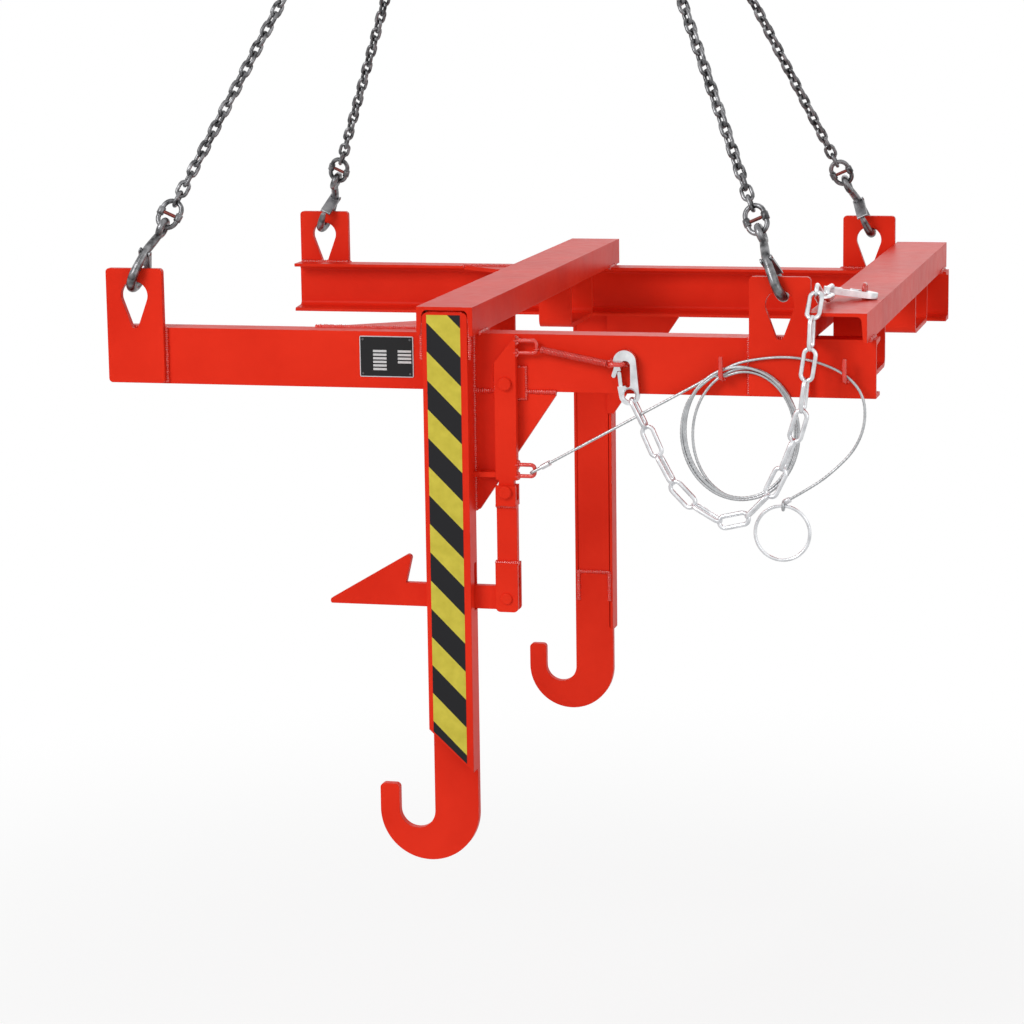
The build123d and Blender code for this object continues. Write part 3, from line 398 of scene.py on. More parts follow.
def sweptTube(points, radii, closed=False, sides=16, lobes=0, lobeDepth=0.0, layLength=0.0):
    # a tube along the points; with lobes its section is a rope's strands, which twist along it
    points = [Vector(p) for p in points]
    count = len(points)
    radii = [radii] * count if isinstance(radii, (int, float)) else radii
    tangents, sideways, drift = directions(points, closed)
    vertices = []
    travelled = 0.0
    for i in range(count):
        if i:
            travelled += (points[i] - points[i - 1]).length
        other = tangents[i].cross(sideways[i])
        for j in range(sides):
            angle = 2 * math.pi * j / sides + drift * i / count
            reach = radii[i]
            if lobes:
                reach *= 1 - lobeDepth * (0.5 - 0.5 * math.cos(lobes * 2 * math.pi * j / sides))
                angle += 2 * math.pi * travelled / layLength
            vertices.append(points[i] + (sideways[i] * math.cos(angle) + other * math.sin(angle)) * reach)
    faces = []
    for i in range(count if closed else count - 1):
        a, b = i * sides, ((i + 1) % count) * sides
        for j in range(sides):
            k = (j + 1) % sides
            faces.append((a + j, a + k, b + k, b + j))
    if not closed:
        faces.append(tuple(reversed(range(sides))))
        faces.append(tuple(range((count - 1) * sides, count * sides)))
    return meshOf("tube", vertices, faces)


def joined(meshes):
    vertices, faces = [], []
    for mesh in meshes:
        start = len(vertices)
        vertices += [v.co for v in mesh.vertices]
        faces += [tuple(start + i for i in face.vertices) for face in mesh.polygons]
    return meshOf("joined", vertices, faces)


def ringPoints(centre, first, second, radius, count):
    turns = [2 * math.pi * i / count for i in range(count)]
    return [centre + (first * math.cos(t) + second * math.sin(t)) * radius for t in turns]


def chamferedRod(start, stop, radius, chamfer, endShare, sides=16):
    # a short round rod whose ends are narrower by endShare
    inward = (stop - start).normalized() * chamfer
    radii = [radius * share for share in (endShare, 1, 1, endShare)]
    return sweptTube([start, start + inward, stop - inward, stop], radii, sides=sides)


# Geometry Nodes: oval links on points, weld beads on edges and a coil spring

def newTree(name, inputs):
    # a whole number makes an integer input, any other number a decimal one
    tree = bpy.data.node_groups.new(name, "GeometryNodeTree")
    for direction in ("OUTPUT", "INPUT"):
        tree.interface.new_socket(name="Geometry", in_out=direction, socket_type="NodeSocketGeometry")
    for label, value in inputs.items():
        kind = "NodeSocketInt" if isinstance(value, int) else "NodeSocketFloat"
        tree.interface.new_socket(name=label, in_out="INPUT", socket_type=kind).default_value = value
    return tree, tree.nodes.new("NodeGroupInput").outputs, tree.nodes.new("NodeGroupOutput")


def wireAlong(tree, given, curve, capped=False):
    # a round wire along a curve, as thick and as many-sided as the tree's inputs say
    circle = addNode(tree, "GeometryNodeCurvePrimitiveCircle",
                     {"Radius": given["Wire Radius"], "Resolution": given["Wire Sides"]})
    inputs = {"Curve": curve, "Profile Curve": circle.outputs["Curve"], "Fill Caps": capped}
    return addNode(tree, "GeometryNodeCurveToMesh", inputs).outputs[0]


def endTree(tree, groupOutput, instances, material):
    real = addNode(tree, "GeometryNodeRealizeInstances", {"Geometry": instances})
    painted = addNode(tree, "GeometryNodeSetMaterial", {"Geometry": real.outputs[0], "Material": material})
    tree.links.new(painted.outputs[0], groupOutput.inputs[0])
    return tree


def makeLinkTree(material):
    tree, given, result = newTree("ovalLinks", {
        "Length": 0.062, "Width": 0.0285, "Wire Radius": 0.004, "Corner Steps": 8, "Wire Sides": 10,
    })
    doubled = mathNode(tree, "MULTIPLY", given["Wire Radius"], 2.0)
    length, width = (mathNode(tree, "SUBTRACT", given[label], doubled) for label in ("Length", "Width"))
    oval = addNode(tree, "GeometryNodeCurvePrimitiveQuadrilateral", {"Width": length, "Height": width})
    # just under half the width, so that the two corners of an end don't meet in one point
    rounded = addNode(tree, "GeometryNodeFilletCurve", {
        "Curve": oval.outputs[0], "Radius": mathNode(tree, "MULTIPLY", width, 0.4999),
        "Count": given["Corner Steps"],
    }, mode="POLY")
    turn = addNode(tree, "GeometryNodeInputNamedAttribute", {"Name": "linkTurn"}, data_type="QUATERNION")
    placed = addNode(tree, "GeometryNodeInstanceOnPoints", {
        "Points": given["Geometry"], "Instance": wireAlong(tree, given, rounded.outputs[0]),
        "Rotation": turn.outputs["Attribute"],
    })
    return endTree(tree, result, placed.outputs[0], material)


def makeWeldTree(material):
    tree, given, result = newTree("weldBead", {
        "Bead Radius": 0.0032, "Ripple Spacing": 0.0034, "Ripple Flatness": 0.62,
        "Smallest Ripple": 0.86, "Largest Ripple": 1.1, "Seed": 7,
    })
    seam = addNode(tree, "GeometryNodeMeshToCurve", {"Mesh": given["Geometry"]})
    steps = addNode(tree, "GeometryNodeCurveToPoints",
                    {"Curve": seam.outputs[0], "Length": given["Ripple Spacing"]}, mode="LENGTH")
    drop = addNode(tree, "GeometryNodeMeshUVSphere",
                   {"Radius": given["Bead Radius"], "Segments": 8, "Rings": 5})
    size = addNode(tree, "FunctionNodeRandomValue", {"Seed": given["Seed"]}, data_type="FLOAT")
    for end, label in (("Min", "Smallest Ripple"), ("Max", "Largest Ripple")):
        tree.links.new(given[label], typed(size.inputs, end, "VALUE"))
    grown = typed(size.outputs, "Value", "VALUE")
    flat = mathNode(tree, "MULTIPLY", grown, given["Ripple Flatness"])
    scale = addNode(tree, "ShaderNodeCombineXYZ", {"X": grown, "Y": grown, "Z": flat})
    placed = addNode(tree, "GeometryNodeInstanceOnPoints", {
        "Points": steps.outputs["Points"], "Instance": drop.outputs[0],
        "Rotation": steps.outputs["Rotation"], "Scale": scale.outputs[0],
    })
    return endTree(tree, result, placed.outputs[0], material)


def makeSpringTree(material):
    tree, given, result = newTree("coilSpring", {
        "Coil Radius": 0.0055, "Coil Length": 0.1, "Turns": 40.0, "Steps Per Turn": 14,
        "Wire Radius": 0.0012, "Wire Sides": 8,
    })
    coil = addNode(tree, "GeometryNodeCurveSpiral", {
        "Resolution": given["Steps Per Turn"], "Rotations": given["Turns"], "Height": given["Coil Length"],
        "Start Radius": given["Coil Radius"], "End Radius": given["Coil Radius"],
    })
    both = addNode(tree, "GeometryNodeJoinGeometry")
    for geometry in (wireAlong(tree, given, coil.outputs[0], capped=True), given["Geometry"]):
        tree.links.new(geometry, both.inputs[0])
    return endTree(tree, result, both.outputs[0], material)


def grow(tree, base, settings):
    # runs a tree on a mesh and gives the plain mesh that it makes
    carrier = bpy.data.objects.new("carrier", base)
    scene.collection.objects.link(carrier)
    modifier = carrier.modifiers.new("nodes", "NODES")
    modifier.node_group = tree
    for item in tree.interface.items_tree:
        if item.in_out == "INPUT" and item.name in settings:
            modifier[item.identifier] = settings[item.name]
    evaluated = carrier.evaluated_get(bpy.context.evaluated_depsgraph_get())
    mesh = bpy.data.meshes.new_from_object(evaluated)
    bpy.data.objects.remove(carrier)
    return mesh


def pointMesh(points, turns):
    mesh = bpy.data.meshes.new("points")
    mesh.from_pydata([tuple(p) for p in points], [], [])
    attribute = mesh.attributes.new("linkTurn", "QUATERNION", "POINT")
    attribute.data.foreach_set("value", [c for turn in turns for c in turn])
    return mesh


def edgeMesh(runs):
    vertices, edges = [], []
    for run in runs:
        start = len(vertices)
        vertices += [tuple(p) for p in run]
        edges += [(start + i, start + i + 1) for i in range(len(run) - 1)]
    mesh = bpy.data.meshes.new("runs")
    mesh.from_pydata(vertices, edges, [])
    return mesh


linkTree = makeLinkTree(finishes["zinc_steel"])
weldTree = makeWeldTree(weldPaint)
springTree = makeSpringTree(finishes["red_paint"])


# the CAD model's own links: where each stands, from its solid

def islands(nodeName):
    # corners in the same place are one corner, and corners of one face are on one island
    mesh = frame["nodes"][nodeName].data
    corners = np.empty(len(mesh.vertices) * 3)
    mesh.vertices.foreach_get("co", corners)
    corners = corners.reshape(-1, 3)
    keys = {}
    merged = [keys.setdefault(tuple(row), len(keys)) for row in np.round(corners, 6).tolist()]
    parent = list(range(len(keys)))

    def root(i):
        while parent[i] != i:
            parent[i] = parent[parent[i]]
            i = parent[i]
        return i

    for face in mesh.polygons:
        first, *others = (merged[v] for v in face.vertices)
        for other in others:
            parent[root(other)] = root(first)
    groups = {}
    for index, key in enumerate(merged):
        groups.setdefault(root(key), []).append(index)
    return [corners[members] for members in groups.values()]


Stand = namedtuple("Stand", "centre axes extents")


def standing(points):
    # the axes run from the longest to the shortest, with the extent along each
    middle = points.mean(0)
    axes = np.linalg.svd(points - middle, full_matrices=False)[2]
    spread = (points - middle) @ axes.T
    low, high = spread.min(0), spread.max(0)
    order = np.argsort(low - high)
    centre = middle + ((low + high) / 2) @ axes
    return Stand(Vector(centre), [Vector(axes[i]) for i in order], [high[i] - low[i] for i in order])


def linkTurn(along, normal):
    side = normal.cross(along)
    return Matrix((along, side, normal)).transposed().to_quaternion()


linkSizes = {
    "safety_chain": {"Length": 0.062, "Width": 0.0285, "Wire Radius": 0.004,
                     "Corner Steps": 8, "Wire Sides": 12},
    "coupling_links": {"Length": 0.060, "Width": 0.043, "Wire Radius": 0.0045,
                       "Corner Steps": 10, "Wire Sides": 12},
    "intermediate_links": {"Length": 0.142, "Width": 0.092, "Wire Radius": 0.008,
                           "Corner Steps": 16, "Wire Sides": 16},
    "master_link": {"Length": 0.1984, "Width": 0.130, "Wire Radius": 0.010,
                    "Corner Steps": 20, "Wire Sides": 18},
}


def growLinks(name, nodeName):
    stands = [standing(points) for points in islands(nodeName)]
    turns = [linkTurn(stand.axes[0], stand.axes[2]) for stand in stands]
    mesh = grow(linkTree, pointMesh([stand.centre for stand in stands], turns), linkSizes[nodeName])
    addPiece(name, smooth(mesh, sharpFrom["grown"]), slotOfNode[nodeName], "frame", [nodeName])
    return stands


chainStands = growLinks("safetyChainLinks", "safety_chain")
couplingStands = growLinks("couplingLinks", "coupling_links")
growLinks("intermediateLinks", "intermediate_links")
growLinks("masterLink", "master_link")
print("links grown", len(chainStands), len(couplingStands))


# sling legs: short links between the end links of each leg

slingChain = {
    "Length": 0.0348, "Width": 0.0235, "Wire Radius": 0.0035, "Corner Steps": 3, "Wire Sides": 7,
    "pitch": 0.0209,
    "longestEndLink": 0.1,  # a solid longer than this is the bar that stands for a leg's links
    "twist": 45,  # degrees, between an end link and the chain's middle
    "twistLinks": 3,
}
slingStands = [standing(points) for points in islands("sling_chains")]
slingBars = [stand for stand in slingStands if stand.extents[0] > slingChain["longestEndLink"]]
slingEnds = [stand for stand in slingStands if stand.extents[0] <= slingChain["longestEndLink"]]
legFeet, legPoints, legTurns = [], [], []
for bar in slingBars:
    up = bar.axes[0] if bar.axes[0].z > 0 else -bar.axes[0]
    half = up * bar.extents[0] / 2
    foot = min(slingEnds, key=lambda end: (end.centre - (bar.centre - half)).length)
    head = min(slingEnds, key=lambda end: (end.centre - (bar.centre + half)).length)
    legFeet.append((foot.centre, up))
    steps = 2 * round((head.centre - foot.centre).length / slingChain["pitch"] / 2)
    for i in range(steps + 1):
        normal = foot.axes[2] if i % 2 == 0 else up.cross(foot.axes[2])
        eased = min(i, steps - i, slingChain["twistLinks"]) / slingChain["twistLinks"]
        normal = Quaternion(up, math.radians(slingChain["twist"]) * eased) @ normal
        legPoints.append(foot.centre.lerp(head.centre, i / steps))
        legTurns.append(linkTurn(up, normal))
slingMesh = smooth(grow(linkTree, pointMesh(legPoints, legTurns), slingChain), sharpFrom["grown"])
addPiece("slingChainLinks", slingMesh, "sling_steel", "frame", ["sling_chains"])
print("sling links", len(legPoints))


# sling hooks: forged bowl, neck and eye, with the gate's pin

hookForm = {
    # the centre line across and up from the bowl's middle, and the radius at each of its points
    "path": [(-27, 22), (-27.6, 14), (-27, 0), (-23.4, -13.5), (-13.5, -23.4), (0, -27), (13.5, -23.4),
             (23.4, -13.5), (27, 0), (27, 14), (26, 30), (22.5, 42), (16, 53), (9, 64), (3.5, 73), (0, 79)],
    "radii": [4.6, 6.2, 7.6, 8.4, 8.9, 9.1, 8.9, 8.5, 8.1, 7.9, 7.8, 7.8, 7.8, 7.6, 7.2, 6.6],
    "steps": 3, "sides": 18,
    "eyeHeight": 92, "eyeRadius": 14, "eyeWire": 6.4, "eyeSteps": 28, "eyeSides": 14,
    "pin": (27, 35), "pinRadius": 2.5, "pinHalf": 11.6, "pinSides": 14,
}


def fineLine(points, radii, steps):
    # a smooth line through the points, with the radius eased along it
    fine, thick = [], []
    last = len(points) - 1
    for i in range(last):
        a, b = points[max(i - 1, 0)], points[i]
        c, d = points[i + 1], points[min(i + 2, last)]
        for step in range(steps):
            t = step / steps
            fine.append(0.5 * ((2 * b) + (c - a) * t + (2 * a - 5 * b + 4 * c - d) * t * t
                               + (3 * b - a - 3 * c + d) * t * t * t))
            thick.append(radii[i] + (radii[i + 1] - radii[i]) * t)
    return fine + [points[-1]], thick + [radii[-1]]


def forgeHook(corner, pivot, facing):
    # the gate's pivot and axis tell where the hook stands, and its leg which way it hangs
    up = min(legFeet, key=lambda leg: (leg[0] - pivot).length)[1]
    out = up.cross(facing)
    origin = pivot - (out * hookForm["pin"][0] + up * hookForm["pin"][1]) * mm
    centreLine = [origin + (out * x + up * y) * mm for x, y in hookForm["path"]]
    line, thick = fineLine(centreLine, [r * mm for r in hookForm["radii"]], hookForm["steps"])
    eyeCentre = origin + up * hookForm["eyeHeight"] * mm
    eye = ringPoints(eyeCentre, out, up, hookForm["eyeRadius"] * mm, hookForm["eyeSteps"])
    hook = joined([
        sweptTube(line, thick, sides=hookForm["sides"]),
        sweptTube(eye, hookForm["eyeWire"] * mm, closed=True, sides=hookForm["eyeSides"]),
    ])
    addPiece(f"forgedHook_{corner}", hook, "sling_steel", "frame", [f"sling_hook_{corner}"])
    pinEnds = [pivot - facing * hookForm["pinHalf"] * mm, pivot + facing * hookForm["pinHalf"] * mm]
    pin = sweptTube(pinEnds, hookForm["pinRadius"] * mm, sides=hookForm["pinSides"])
    addPiece(f"gatePin_{corner}", pin, "latch_steel", f"latch_{corner}", material=pinRed)


for joint in frame["joints"]:
    if joint["name"].startswith("latch_"):
        corner = joint["name"].removeprefix("latch_").removesuffix("_swing")
        forgeHook(corner, Vector(joint["pos_m"]), Vector(joint["axis"]))
print("sling hooks forged", len(legFeet))


# coupling links: the two halves meet at a pinned waist

coupling = {"bossRadius": 6.6, "bossLength": 15, "bossChamfer": 1.2, "bossEnds": 0.82,
            "pinRadius": 3.2, "pinLength": 36, "pinSides": 12}
bosses, pins = [], []
for stand in couplingStands:
    along, side, _ = stand.axes
    halfBoss = along * coupling["bossLength"] / 2 * mm
    halfWidth = stand.extents[1] / 2 - linkSizes["coupling_links"]["Wire Radius"]
    for sign in (-1, 1):
        middle = stand.centre + side * sign * halfWidth
        bosses.append(chamferedRod(middle - halfBoss, middle + halfBoss, coupling["bossRadius"] * mm,
                                   coupling["bossChamfer"] * mm, coupling["bossEnds"]))
    halfPin = side * coupling["pinLength"] / 2 * mm
    pinEnds = [stand.centre - halfPin, stand.centre + halfPin]
    pins.append(sweptTube(pinEnds, coupling["pinRadius"] * mm, sides=coupling["pinSides"]))
addPiece("couplingBosses", joined(bosses), "sling_steel", "frame")
addPiece("couplingPins", joined(pins), "sling_steel", "frame", material=pinRed)
print("coupling links dressed")


# return spring: a close coil with a loop at each end, from the lever to the staple

springForm = {
    "leverEnd": (156.5, 12.5, 76),
    "stapleEnd": (285.5, 17.8, 53),
    "coilRadius": 5.5, "turns": 44, "wireRadius": 1.2,
    "loopRadius": 6.0, "loopSteps": 24, "loopSides": 8,
    "endGap": 6.4,  # between the middle of an end loop and the coil
}
springStart, springStop = place(*springForm["leverEnd"]), place(*springForm["stapleEnd"])
springRun = (springStop - springStart).normalized()
coilFoot = springStart + springRun * springForm["endGap"] * mm
coilMesh = grow(springTree, bpy.data.meshes.new("nothing"), {
    "Coil Radius": springForm["coilRadius"] * mm, "Wire Radius": springForm["wireRadius"] * mm,
    "Coil Length": (springStop - springStart).length - 2 * springForm["endGap"] * mm,
    "Turns": float(springForm["turns"]),
})
coilMesh.transform(Matrix.Translation(coilFoot) @ springRun.to_track_quat("Z", "Y").to_matrix().to_4x4())
loops = [
    sweptTube(ringPoints(centre, xAxis, second, springForm["loopRadius"] * mm, springForm["loopSteps"]),
              springForm["wireRadius"] * mm, closed=True, sides=springForm["loopSides"])
    for centre, second in ((springStart, yAxis), (springStop, zAxis))
]
spring = newPiece("returnSpring", joined([coilMesh] + loops), "red_paint", ["return_spring"], weldPaint)
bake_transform(spring)
print("spring coiled")


# wire rope: a taut lead, the hank over the pegs and the loop down to the pull ring

rope = {
    "diameter": 5.0,
    "sides": 18,
    "lobes": 6,
    "lobeDepth": 0.11,
    "layLength": 40.0,
    "step": 2.6,
    "depth": 17.0,
    "curveSteps": 12,
}
ropeRoutes = {
    "lead": [(176.9, 12.52, -122.24), (203.2, 13.0, -107.7), (413.7, 16.6, 8.5), (440, 17, 23)],
    "rise": [(440, 17, 23), (462, 17, 38)],
    "loop": [(490, 55), (545, 68), (600, 72), (650, 62), (694, 42), (722, 8), (725, -40), (708, -84),
             (676, -118), (640, -148), (585.8, -179.6)],
}
hankTurns = {
    "centre": (515, -62),
    "reach": (95, 114),
    "startAngle": 118,
    "pointsPerTurn": 14,
    # each turn: how much wider and higher it is, and how far it is shifted in depth and along X
    "turns": [(-8, -6, -2.0, 4), (5, 4, 1.8, -5), (-3, 1, -1.2, 7), (9, 3, 2.2, -4)],
}


def splineOf(name, points):
    # a smooth curve with the route's points as its control points, read back as a fine line
    data = bpy.data.curves.new(name, "CURVE")
    data.dimensions = "3D"
    data.resolution_u = rope["curveSteps"]
    spline = data.splines.new("NURBS")
    spline.points.add(len(points) - 1)
    for target, point in zip(spline.points, points):
        target.co = (*point, 1)
    spline.order_u = 3
    spline.use_endpoint_u = True
    carrier = bpy.data.objects.new(name, data)
    scene.collection.objects.link(carrier)
    mesh = bpy.data.meshes.new_from_object(carrier.evaluated_get(bpy.context.evaluated_depsgraph_get()))
    line = [v.co.copy() for v in mesh.vertices]
    bpy.data.objects.remove(carrier)
    return line


def evenly(line, step):
    # the same line in equal steps
    lengths = [0.0]
    for a, b in zip(line, line[1:]):
        lengths.append(lengths[-1] + (b - a).length)
    count = max(2, round(lengths[-1] / step))
    even, i = [], 0
    for k in range(count + 1):
        target = lengths[-1] * k / count
        while i < len(lengths) - 2 and lengths[i + 1] < target:
            i += 1
        share = (target - lengths[i]) / max(lengths[i + 1] - lengths[i], 1e-9)
        even.append(line[i].lerp(line[i + 1], min(share, 1.0)))
    return even, lengths[-1]


def twistRope(name, points):
    line, length = evenly(splineOf(name, points), rope["step"] * mm)
    mesh = sweptTube(line, rope["diameter"] / 2 * mm, sides=rope["sides"], lobes=rope["lobes"],
                     lobeDepth=rope["lobeDepth"], layLength=rope["layLength"] * mm)
    return mesh, line, length


def hankRoute():
    # up over the first peg, round turns that ease into one another, and down to the pull ring
    turns, perTurn = hankTurns["turns"], hankTurns["pointsPerTurn"]
    centreX, centreZ = hankTurns["centre"]
    reachX, reachZ = hankTurns["reach"]
    route = [place(*point) for point in ropeRoutes["rise"]]
    for i in range(len(turns) * perTurn):
        turn = i / perTurn
        here, after = turns[int(turn)], turns[min(int(turn) + 1, len(turns) - 1)]
        wider, higher, shift, lean = (a + (b - a) * (turn - int(turn)) for a, b in zip(here, after))
        angle = math.radians(hankTurns["startAngle"]) - 2 * math.pi * turn
        route.append(place(centreX + lean + (reachX + wider) * math.cos(angle), rope["depth"] + shift,
                           centreZ + (reachZ + higher) * math.sin(angle)))
    return route + [place(x, rope["depth"], height) for x, height in ropeRoutes["loop"]]


leadMesh, leadLine, leadLength = twistRope("ropeLead", [place(*p) for p in ropeRoutes["lead"]])
lead = newPiece("ropeLead", leadMesh, "wire_rope", ["rope_lead"])
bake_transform(lead)

hankMesh, hankLine, hankLength = twistRope("ropeHank", hankRoute())
hank = addPiece("ropeHank", hankMesh, "wire_rope", "frame", ["rope_hank", "rope_loop"])
print("rope laid", round(leadLength, 3), round(hankLength, 3))


# pull ring, and the eye and ferrule that hold the rope to it

ringForm = {"centre": (584, -232), "radius": 47, "steps": 72, "wireRadius": 3.0, "sides": 14}
endEye = {"radius": 7.5, "steps": 26, "sides": 12, "outward": 0.5}  # outward of the ring's centre line
# the ferrule points along the rope's last steps, as many as backSteps
endFerrule = {"radius": 5.2, "length": 12, "chamfer": 1, "endShare": 0.85, "gap": 1.5, "backSteps": 5}
ringCentre = place(ringForm["centre"][0], rope["depth"], ringForm["centre"][1])
ringLine = ringPoints(ringCentre, xAxis, zAxis, ringForm["radius"] * mm, ringForm["steps"])
ringMesh = sweptTube(ringLine, ringForm["wireRadius"] * mm, closed=True, sides=ringForm["sides"])
addPiece("pullRing", ringMesh, "zinc_steel", "frame", ["pull_ring"])

ropeEnd = hankLine[-1]
inward = (ringCentre - ropeEnd).normalized()
eyeCentre = ringCentre - inward * (ringForm["radius"] + endEye["outward"]) * mm
eyeLine = ringPoints(eyeCentre, inward, yAxis, endEye["radius"] * mm, endEye["steps"])
eyeMesh = sweptTube(eyeLine, rope["diameter"] / 2 * mm, closed=True, sides=endEye["sides"])
ringEye = addPiece("ringEye", eyeMesh, "wire_rope", "frame")

back = (hankLine[-1 - endFerrule["backSteps"]] - ropeEnd).normalized()
ferruleFoot = ropeEnd + back * endFerrule["gap"] * mm
ferruleMesh = chamferedRod(ferruleFoot, ferruleFoot + back * endFerrule["length"] * mm,
                           endFerrule["radius"] * mm, endFerrule["chamfer"] * mm, endFerrule["endShare"])
ringFerrule = addPiece("ringFerrule", ferruleMesh, "clamp_aluminium", "frame")


# welds: rippled beads along the seams

weldForm = {"Bead Radius": 0.0048, "Ripple Spacing": 0.0038, "Ripple Flatness": 0.62, "Seed": 7}
seamForm = {
    "proud": 1.4,  # how far the seams beside a lug stand off its corner
    "beamHeight": 100,
    "flange": 50,
    "lugInset": 4, "lugBack": 3,
    "mouthDepth": 39.5,
    "mouth": [(-42.5, 60), (-42.5, 118), (-39, 130), (-28, 138), (28, 138), (39, 130), (42.5, 118), (42.5, 60)],
    "gussetInset": 6, "legSide": 40, "plateStop": -50,
    "hookPlate": 15, "hookTop": (-31, 31), "hookSides": (-33, 33), "hookRun": 60,
    "rodFeet": [(285.5, 53), (308.5, 53), (479, 33), (690, 33)], "footDepth": 0.5, "footRadius": 4.6,
    "linkDepth": 19.8, "linkEnds": [(81, 119, -300), (83, 117, -199)],
    "eyeDepth": 12.5, "eyeHeights": (90.1, 69.1, -127, -147), "eyeRadius": 4.2,
    "ringSteps": 14,
}
beamHead = beamFoot + seamForm["beamHeight"] * mm


def sideOf(low):
    # the outer face of the beam that a box stands at, and the way out
    return beamSides["near" if low.y < 0 else "far"]


def upright(x, y, start, stop):
    return [Vector((x, y, start)), Vector((x, y, stop))]


def level(start, stop, y, z):
    return [Vector((start, y, z)), Vector((stop, y, z))]


def ringSeam(centre, across, radius):
    circle = ringPoints(centre, across, zAxis, radius * mm, seamForm["ringSteps"])
    return circle + circle[:1]


def lugSeams(low, high):
    face, out = sideOf(low)
    proud, inset = seamForm["proud"] * mm, seamForm["lugInset"] * mm
    x = high.x + proud if low.x < 0 else low.x - proud
    back = face - out * seamForm["lugBack"] * mm
    return [upright(x, face + out * proud, low.z + inset, beamHead),
            level(low.x + inset, high.x - inset, back, beamHead)]


def crossMemberSeams(low, high):
    seams = []
    for x in (low.x, high.x):
        for face, out in beamSides.values():
            seams.append([Vector((x, face, low.z)), Vector((x, face - out * seamForm["flange"] * mm, low.z))])
    return seams


def mouthSeams():
    # round the open ends of the front cross member, over the legs
    return [[Vector((x * mm, face + out * seamForm["mouthDepth"] * mm, beamFoot + height * mm))
             for x, height in seamForm["mouth"]] for face, out in beamSides.values()]


def gussetSeams(start, low, high):
    face, _ = sideOf(low)
    legSide = seamForm["legSide"] * mm
    return [level(start, high.x, low.y, beamFoot), upright(legSide, face, beamFoot, low.z)]


def hookSeams(low, high):
    # the weld across where the hook plate begins, and one down each side of it
    face, out = sideOf(low)
    start, stop = (x * mm for x in seamForm["hookTop"])
    across = [level(start, stop, y, high.z) for y in (face, face + out * seamForm["hookPlate"] * mm)]
    return across + [upright(x * mm, face, high.z, high.z - seamForm["hookRun"] * mm)
                     for x in seamForm["hookSides"]]


def frameSeams():
    seams = []
    for nodeName in ("lug_near_left", "lug_near_right", "lug_far_left", "lug_far_right"):
        seams += lugSeams(*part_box(nodeName))
    for nodeName in ("front_cross_member", "rear_cross_member"):
        seams += crossMemberSeams(*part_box(nodeName))
    for name, (face, out) in beamSides.items():
        low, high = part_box(f"{name}_leg")
        seams += [upright(x, face, beamFoot, beamHead) for x in (low.x, high.x)]
    seams += mouthSeams()
    low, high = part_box("near_gusset")
    seams += gussetSeams(low.x + seamForm["gussetInset"] * mm, low, high)
    seams += gussetSeams(seamForm["legSide"] * mm, *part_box("far_gusset"))
    low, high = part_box("pivot_pad")
    corners = [(low.x, low.z), (high.x, low.z), (high.x, high.z), (low.x, high.z), (low.x, low.z)]
    seams.append([Vector((x, nearFace, z)) for x, z in corners])
    low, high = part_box("corner_plates")
    for face, out in beamSides.values():
        seams.append(level(low.x, seamForm["plateStop"] * mm, face - out * seamForm["flange"] * mm, high.z))
    for nodeName in ("far_hook", "near_hook"):
        seams += hookSeams(*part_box(nodeName))
    for x, height in seamForm["rodFeet"]:
        seams.append(ringSeam(place(x, seamForm["footDepth"], height), xAxis, seamForm["footRadius"]))
    return seams


def layWelds(name, seams, body):
    return addPiece(name, grow(weldTree, edgeMesh(seams), weldForm), "red_paint", body, material=weldPaint)


frameWelds = layWelds("frameWelds", frameSeams(), "frame")
smooth(frameWelds.data, sharpFrom["grown"])
linkSeams = [[place(x, seamForm["linkDepth"], height) for x in (start, stop)]
             for start, stop, height in seamForm["linkEnds"]]
layWelds("linkWelds", linkSeams, "link")
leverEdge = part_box("lever")[1].x
leverSeams = [ringSeam(place(leverEdge / mm, seamForm["eyeDepth"], height), yAxis, seamForm["eyeRadius"])
              for height in seamForm["eyeHeights"]]
layWelds("leverWelds", leverSeams, "lever")
print("welds laid", len(frameWelds.data.polygons))


# floor, backdrop and light

floorForm = {
    "gap": 0.5,
    "half": 14.0,
    "shade": (0.915, 0.915, 0.915), "white": (0.93, 0.93, 0.93), "rough": 0.85,
    "cloudScale": 0.6, "cloudDetail": 2.0,
    "shadowShare": 0.2,  # how much of the shadow shows close to the object
    "fade": (0.8, 2.8),  # from here to here it gives way to plain white
    "mirrorDim": 0.15,  # how much darker the floor is in reflections
}
worldForm = {"light": 0.42, "backdrop": 1.0}
lamps = {
    "keyLamp": {"position": (-2.6, -4.6, 1.2), "target": (0.1, 0, -1.6), "size": 2.4, "power": 150},
    "fillLamp": {"position": (4.2, -3.6, -0.6), "target": (0.1, 0, -1.8), "size": 3.2, "power": 34},
    "backLamp": {"position": (0.5, 4.2, 1.0), "target": (0.1, 0, -1.6), "size": 3.0, "power": 34},
}


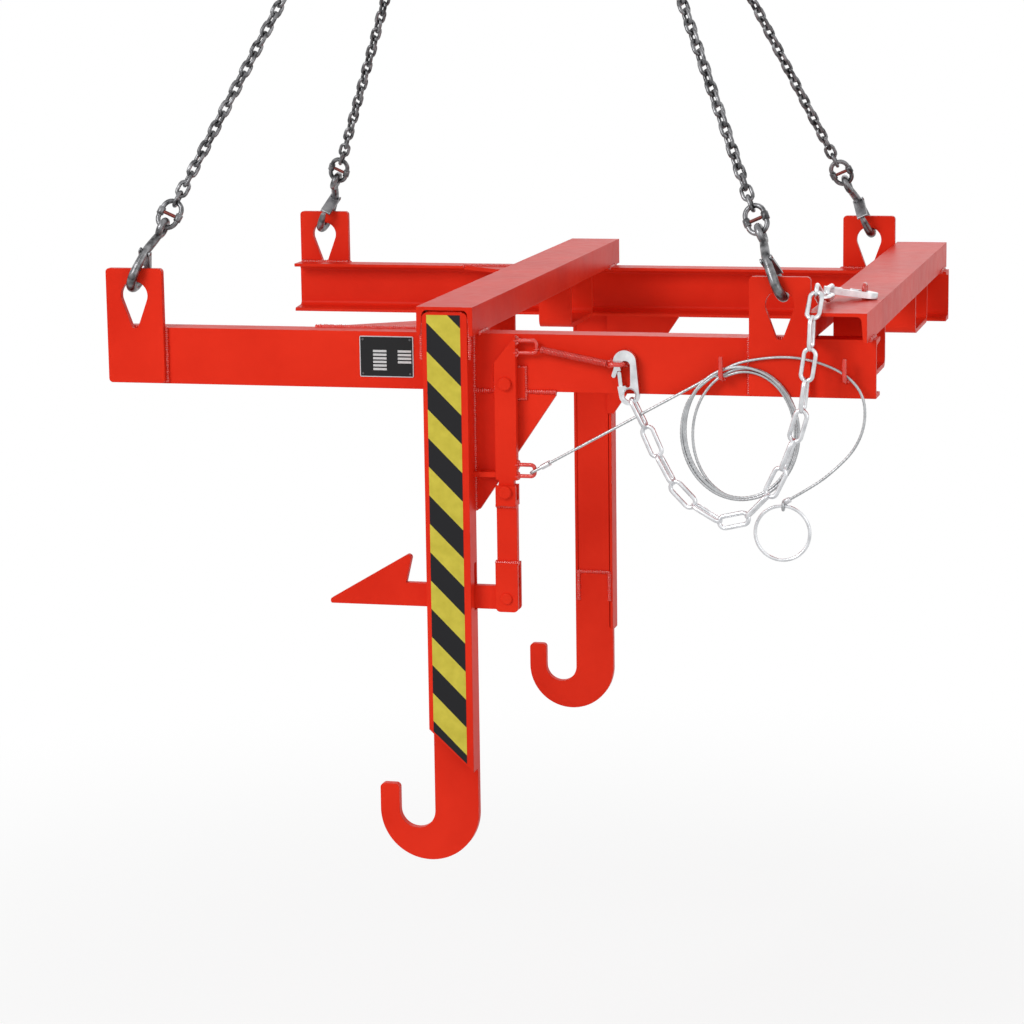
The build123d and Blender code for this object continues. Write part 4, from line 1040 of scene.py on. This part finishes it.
def paintFloor(form):
    finish = Finish("paleFloor")
    cloud = finish.noise(form["cloudScale"], form["cloudDetail"])
    finish.tree.links.new(finish.ramp(cloud, form["shade"], form["white"]), finish.shader.inputs["Base Color"])
    finish.shader.inputs["Roughness"].default_value = form["rough"]
    # seen directly, the floor is nearly white, wholly so away from the object
    flat = finish.add("ShaderNodeVectorMath", {0: finish.coordinates, 1: (1, 1, 0)}, operation="MULTIPLY")
    distance = finish.add("ShaderNodeVectorMath", {0: flat.outputs["Vector"]}, operation="LENGTH")
    whiteness = finish.add("ShaderNodeMapRange", {
        "Value": distance.outputs["Value"], "From Min": form["fade"][0], "From Max": form["fade"][1],
        "To Min": 1 - form["shadowShare"],
    }, interpolation_type="SMOOTHSTEP").outputs["Result"]
    ray = finish.add("ShaderNodeLightPath").outputs
    seen = finish.math("MAXIMUM", ray["Is Camera Ray"], ray["Is Glossy Ray"])
    seen = finish.math("MAXIMUM", seen, ray["Is Transmission Ray"])
    dimmed = finish.math("MULTIPLY", ray["Is Glossy Ray"], -form["mirrorDim"])
    glow = finish.add("ShaderNodeEmission", {"Strength": finish.math("ADD", dimmed, 1.0)})
    blended = finish.add("ShaderNodeMixShader", {
        "Fac": finish.math("MULTIPLY", seen, whiteness),
        1: finish.shader.outputs["BSDF"], 2: glow.outputs["Emission"],
    })
    finish.tree.links.new(blended.outputs["Shader"], finish.tree.nodes["Material Output"].inputs["Surface"])
    return finish.material


def makeFloor(form):
    height, half = cadBox[0][2] - form["gap"], form["half"]
    corners = [(-half, -half, height), (half, -half, height), (half, half, height), (-half, half, height)]
    mesh = bpy.data.meshes.new("paleFloor")
    mesh.from_pydata(corners, [], [(0, 1, 2, 3)])
    mesh.materials.append(paintFloor(form))
    floor = bpy.data.objects.new("paleFloor", mesh)
    scene.collection.objects.link(floor)


def makeWorld(light, backdrop):
    # the world lights the object softly and shows white behind it
    world = bpy.data.worlds.new("studio")
    scene.world = world
    world.use_nodes = True
    tree = world.node_tree
    ray = addNode(tree, "ShaderNodeLightPath").outputs
    seen = mathNode(tree, "MAXIMUM", ray["Is Camera Ray"], ray["Is Glossy Ray"])
    strength = addNode(tree, "ShaderNodeMapRange", {"Value": seen, "To Min": light, "To Max": backdrop})
    background = tree.nodes["Background"]
    background.inputs["Color"].default_value = (1, 1, 1, 1)
    tree.links.new(strength.outputs["Result"], background.inputs["Strength"])


def addLamp(name, position, target, size, power):
    data = bpy.data.lights.new(name, "AREA")
    data.shape = "SQUARE"
    data.size = size
    data.energy = power
    lamp = bpy.data.objects.new(name, data)
    lamp.location = position
    lamp.rotation_euler = (Vector(target) - Vector(position)).to_track_quat("-Z", "Y").to_euler()
    scene.collection.objects.link(lamp)


makeFloor(floorForm)
makeWorld(**worldForm)
for name, lamp in lamps.items():
    addLamp(name, **lamp)
scene.view_settings.view_transform = "Standard"
print("stage set")
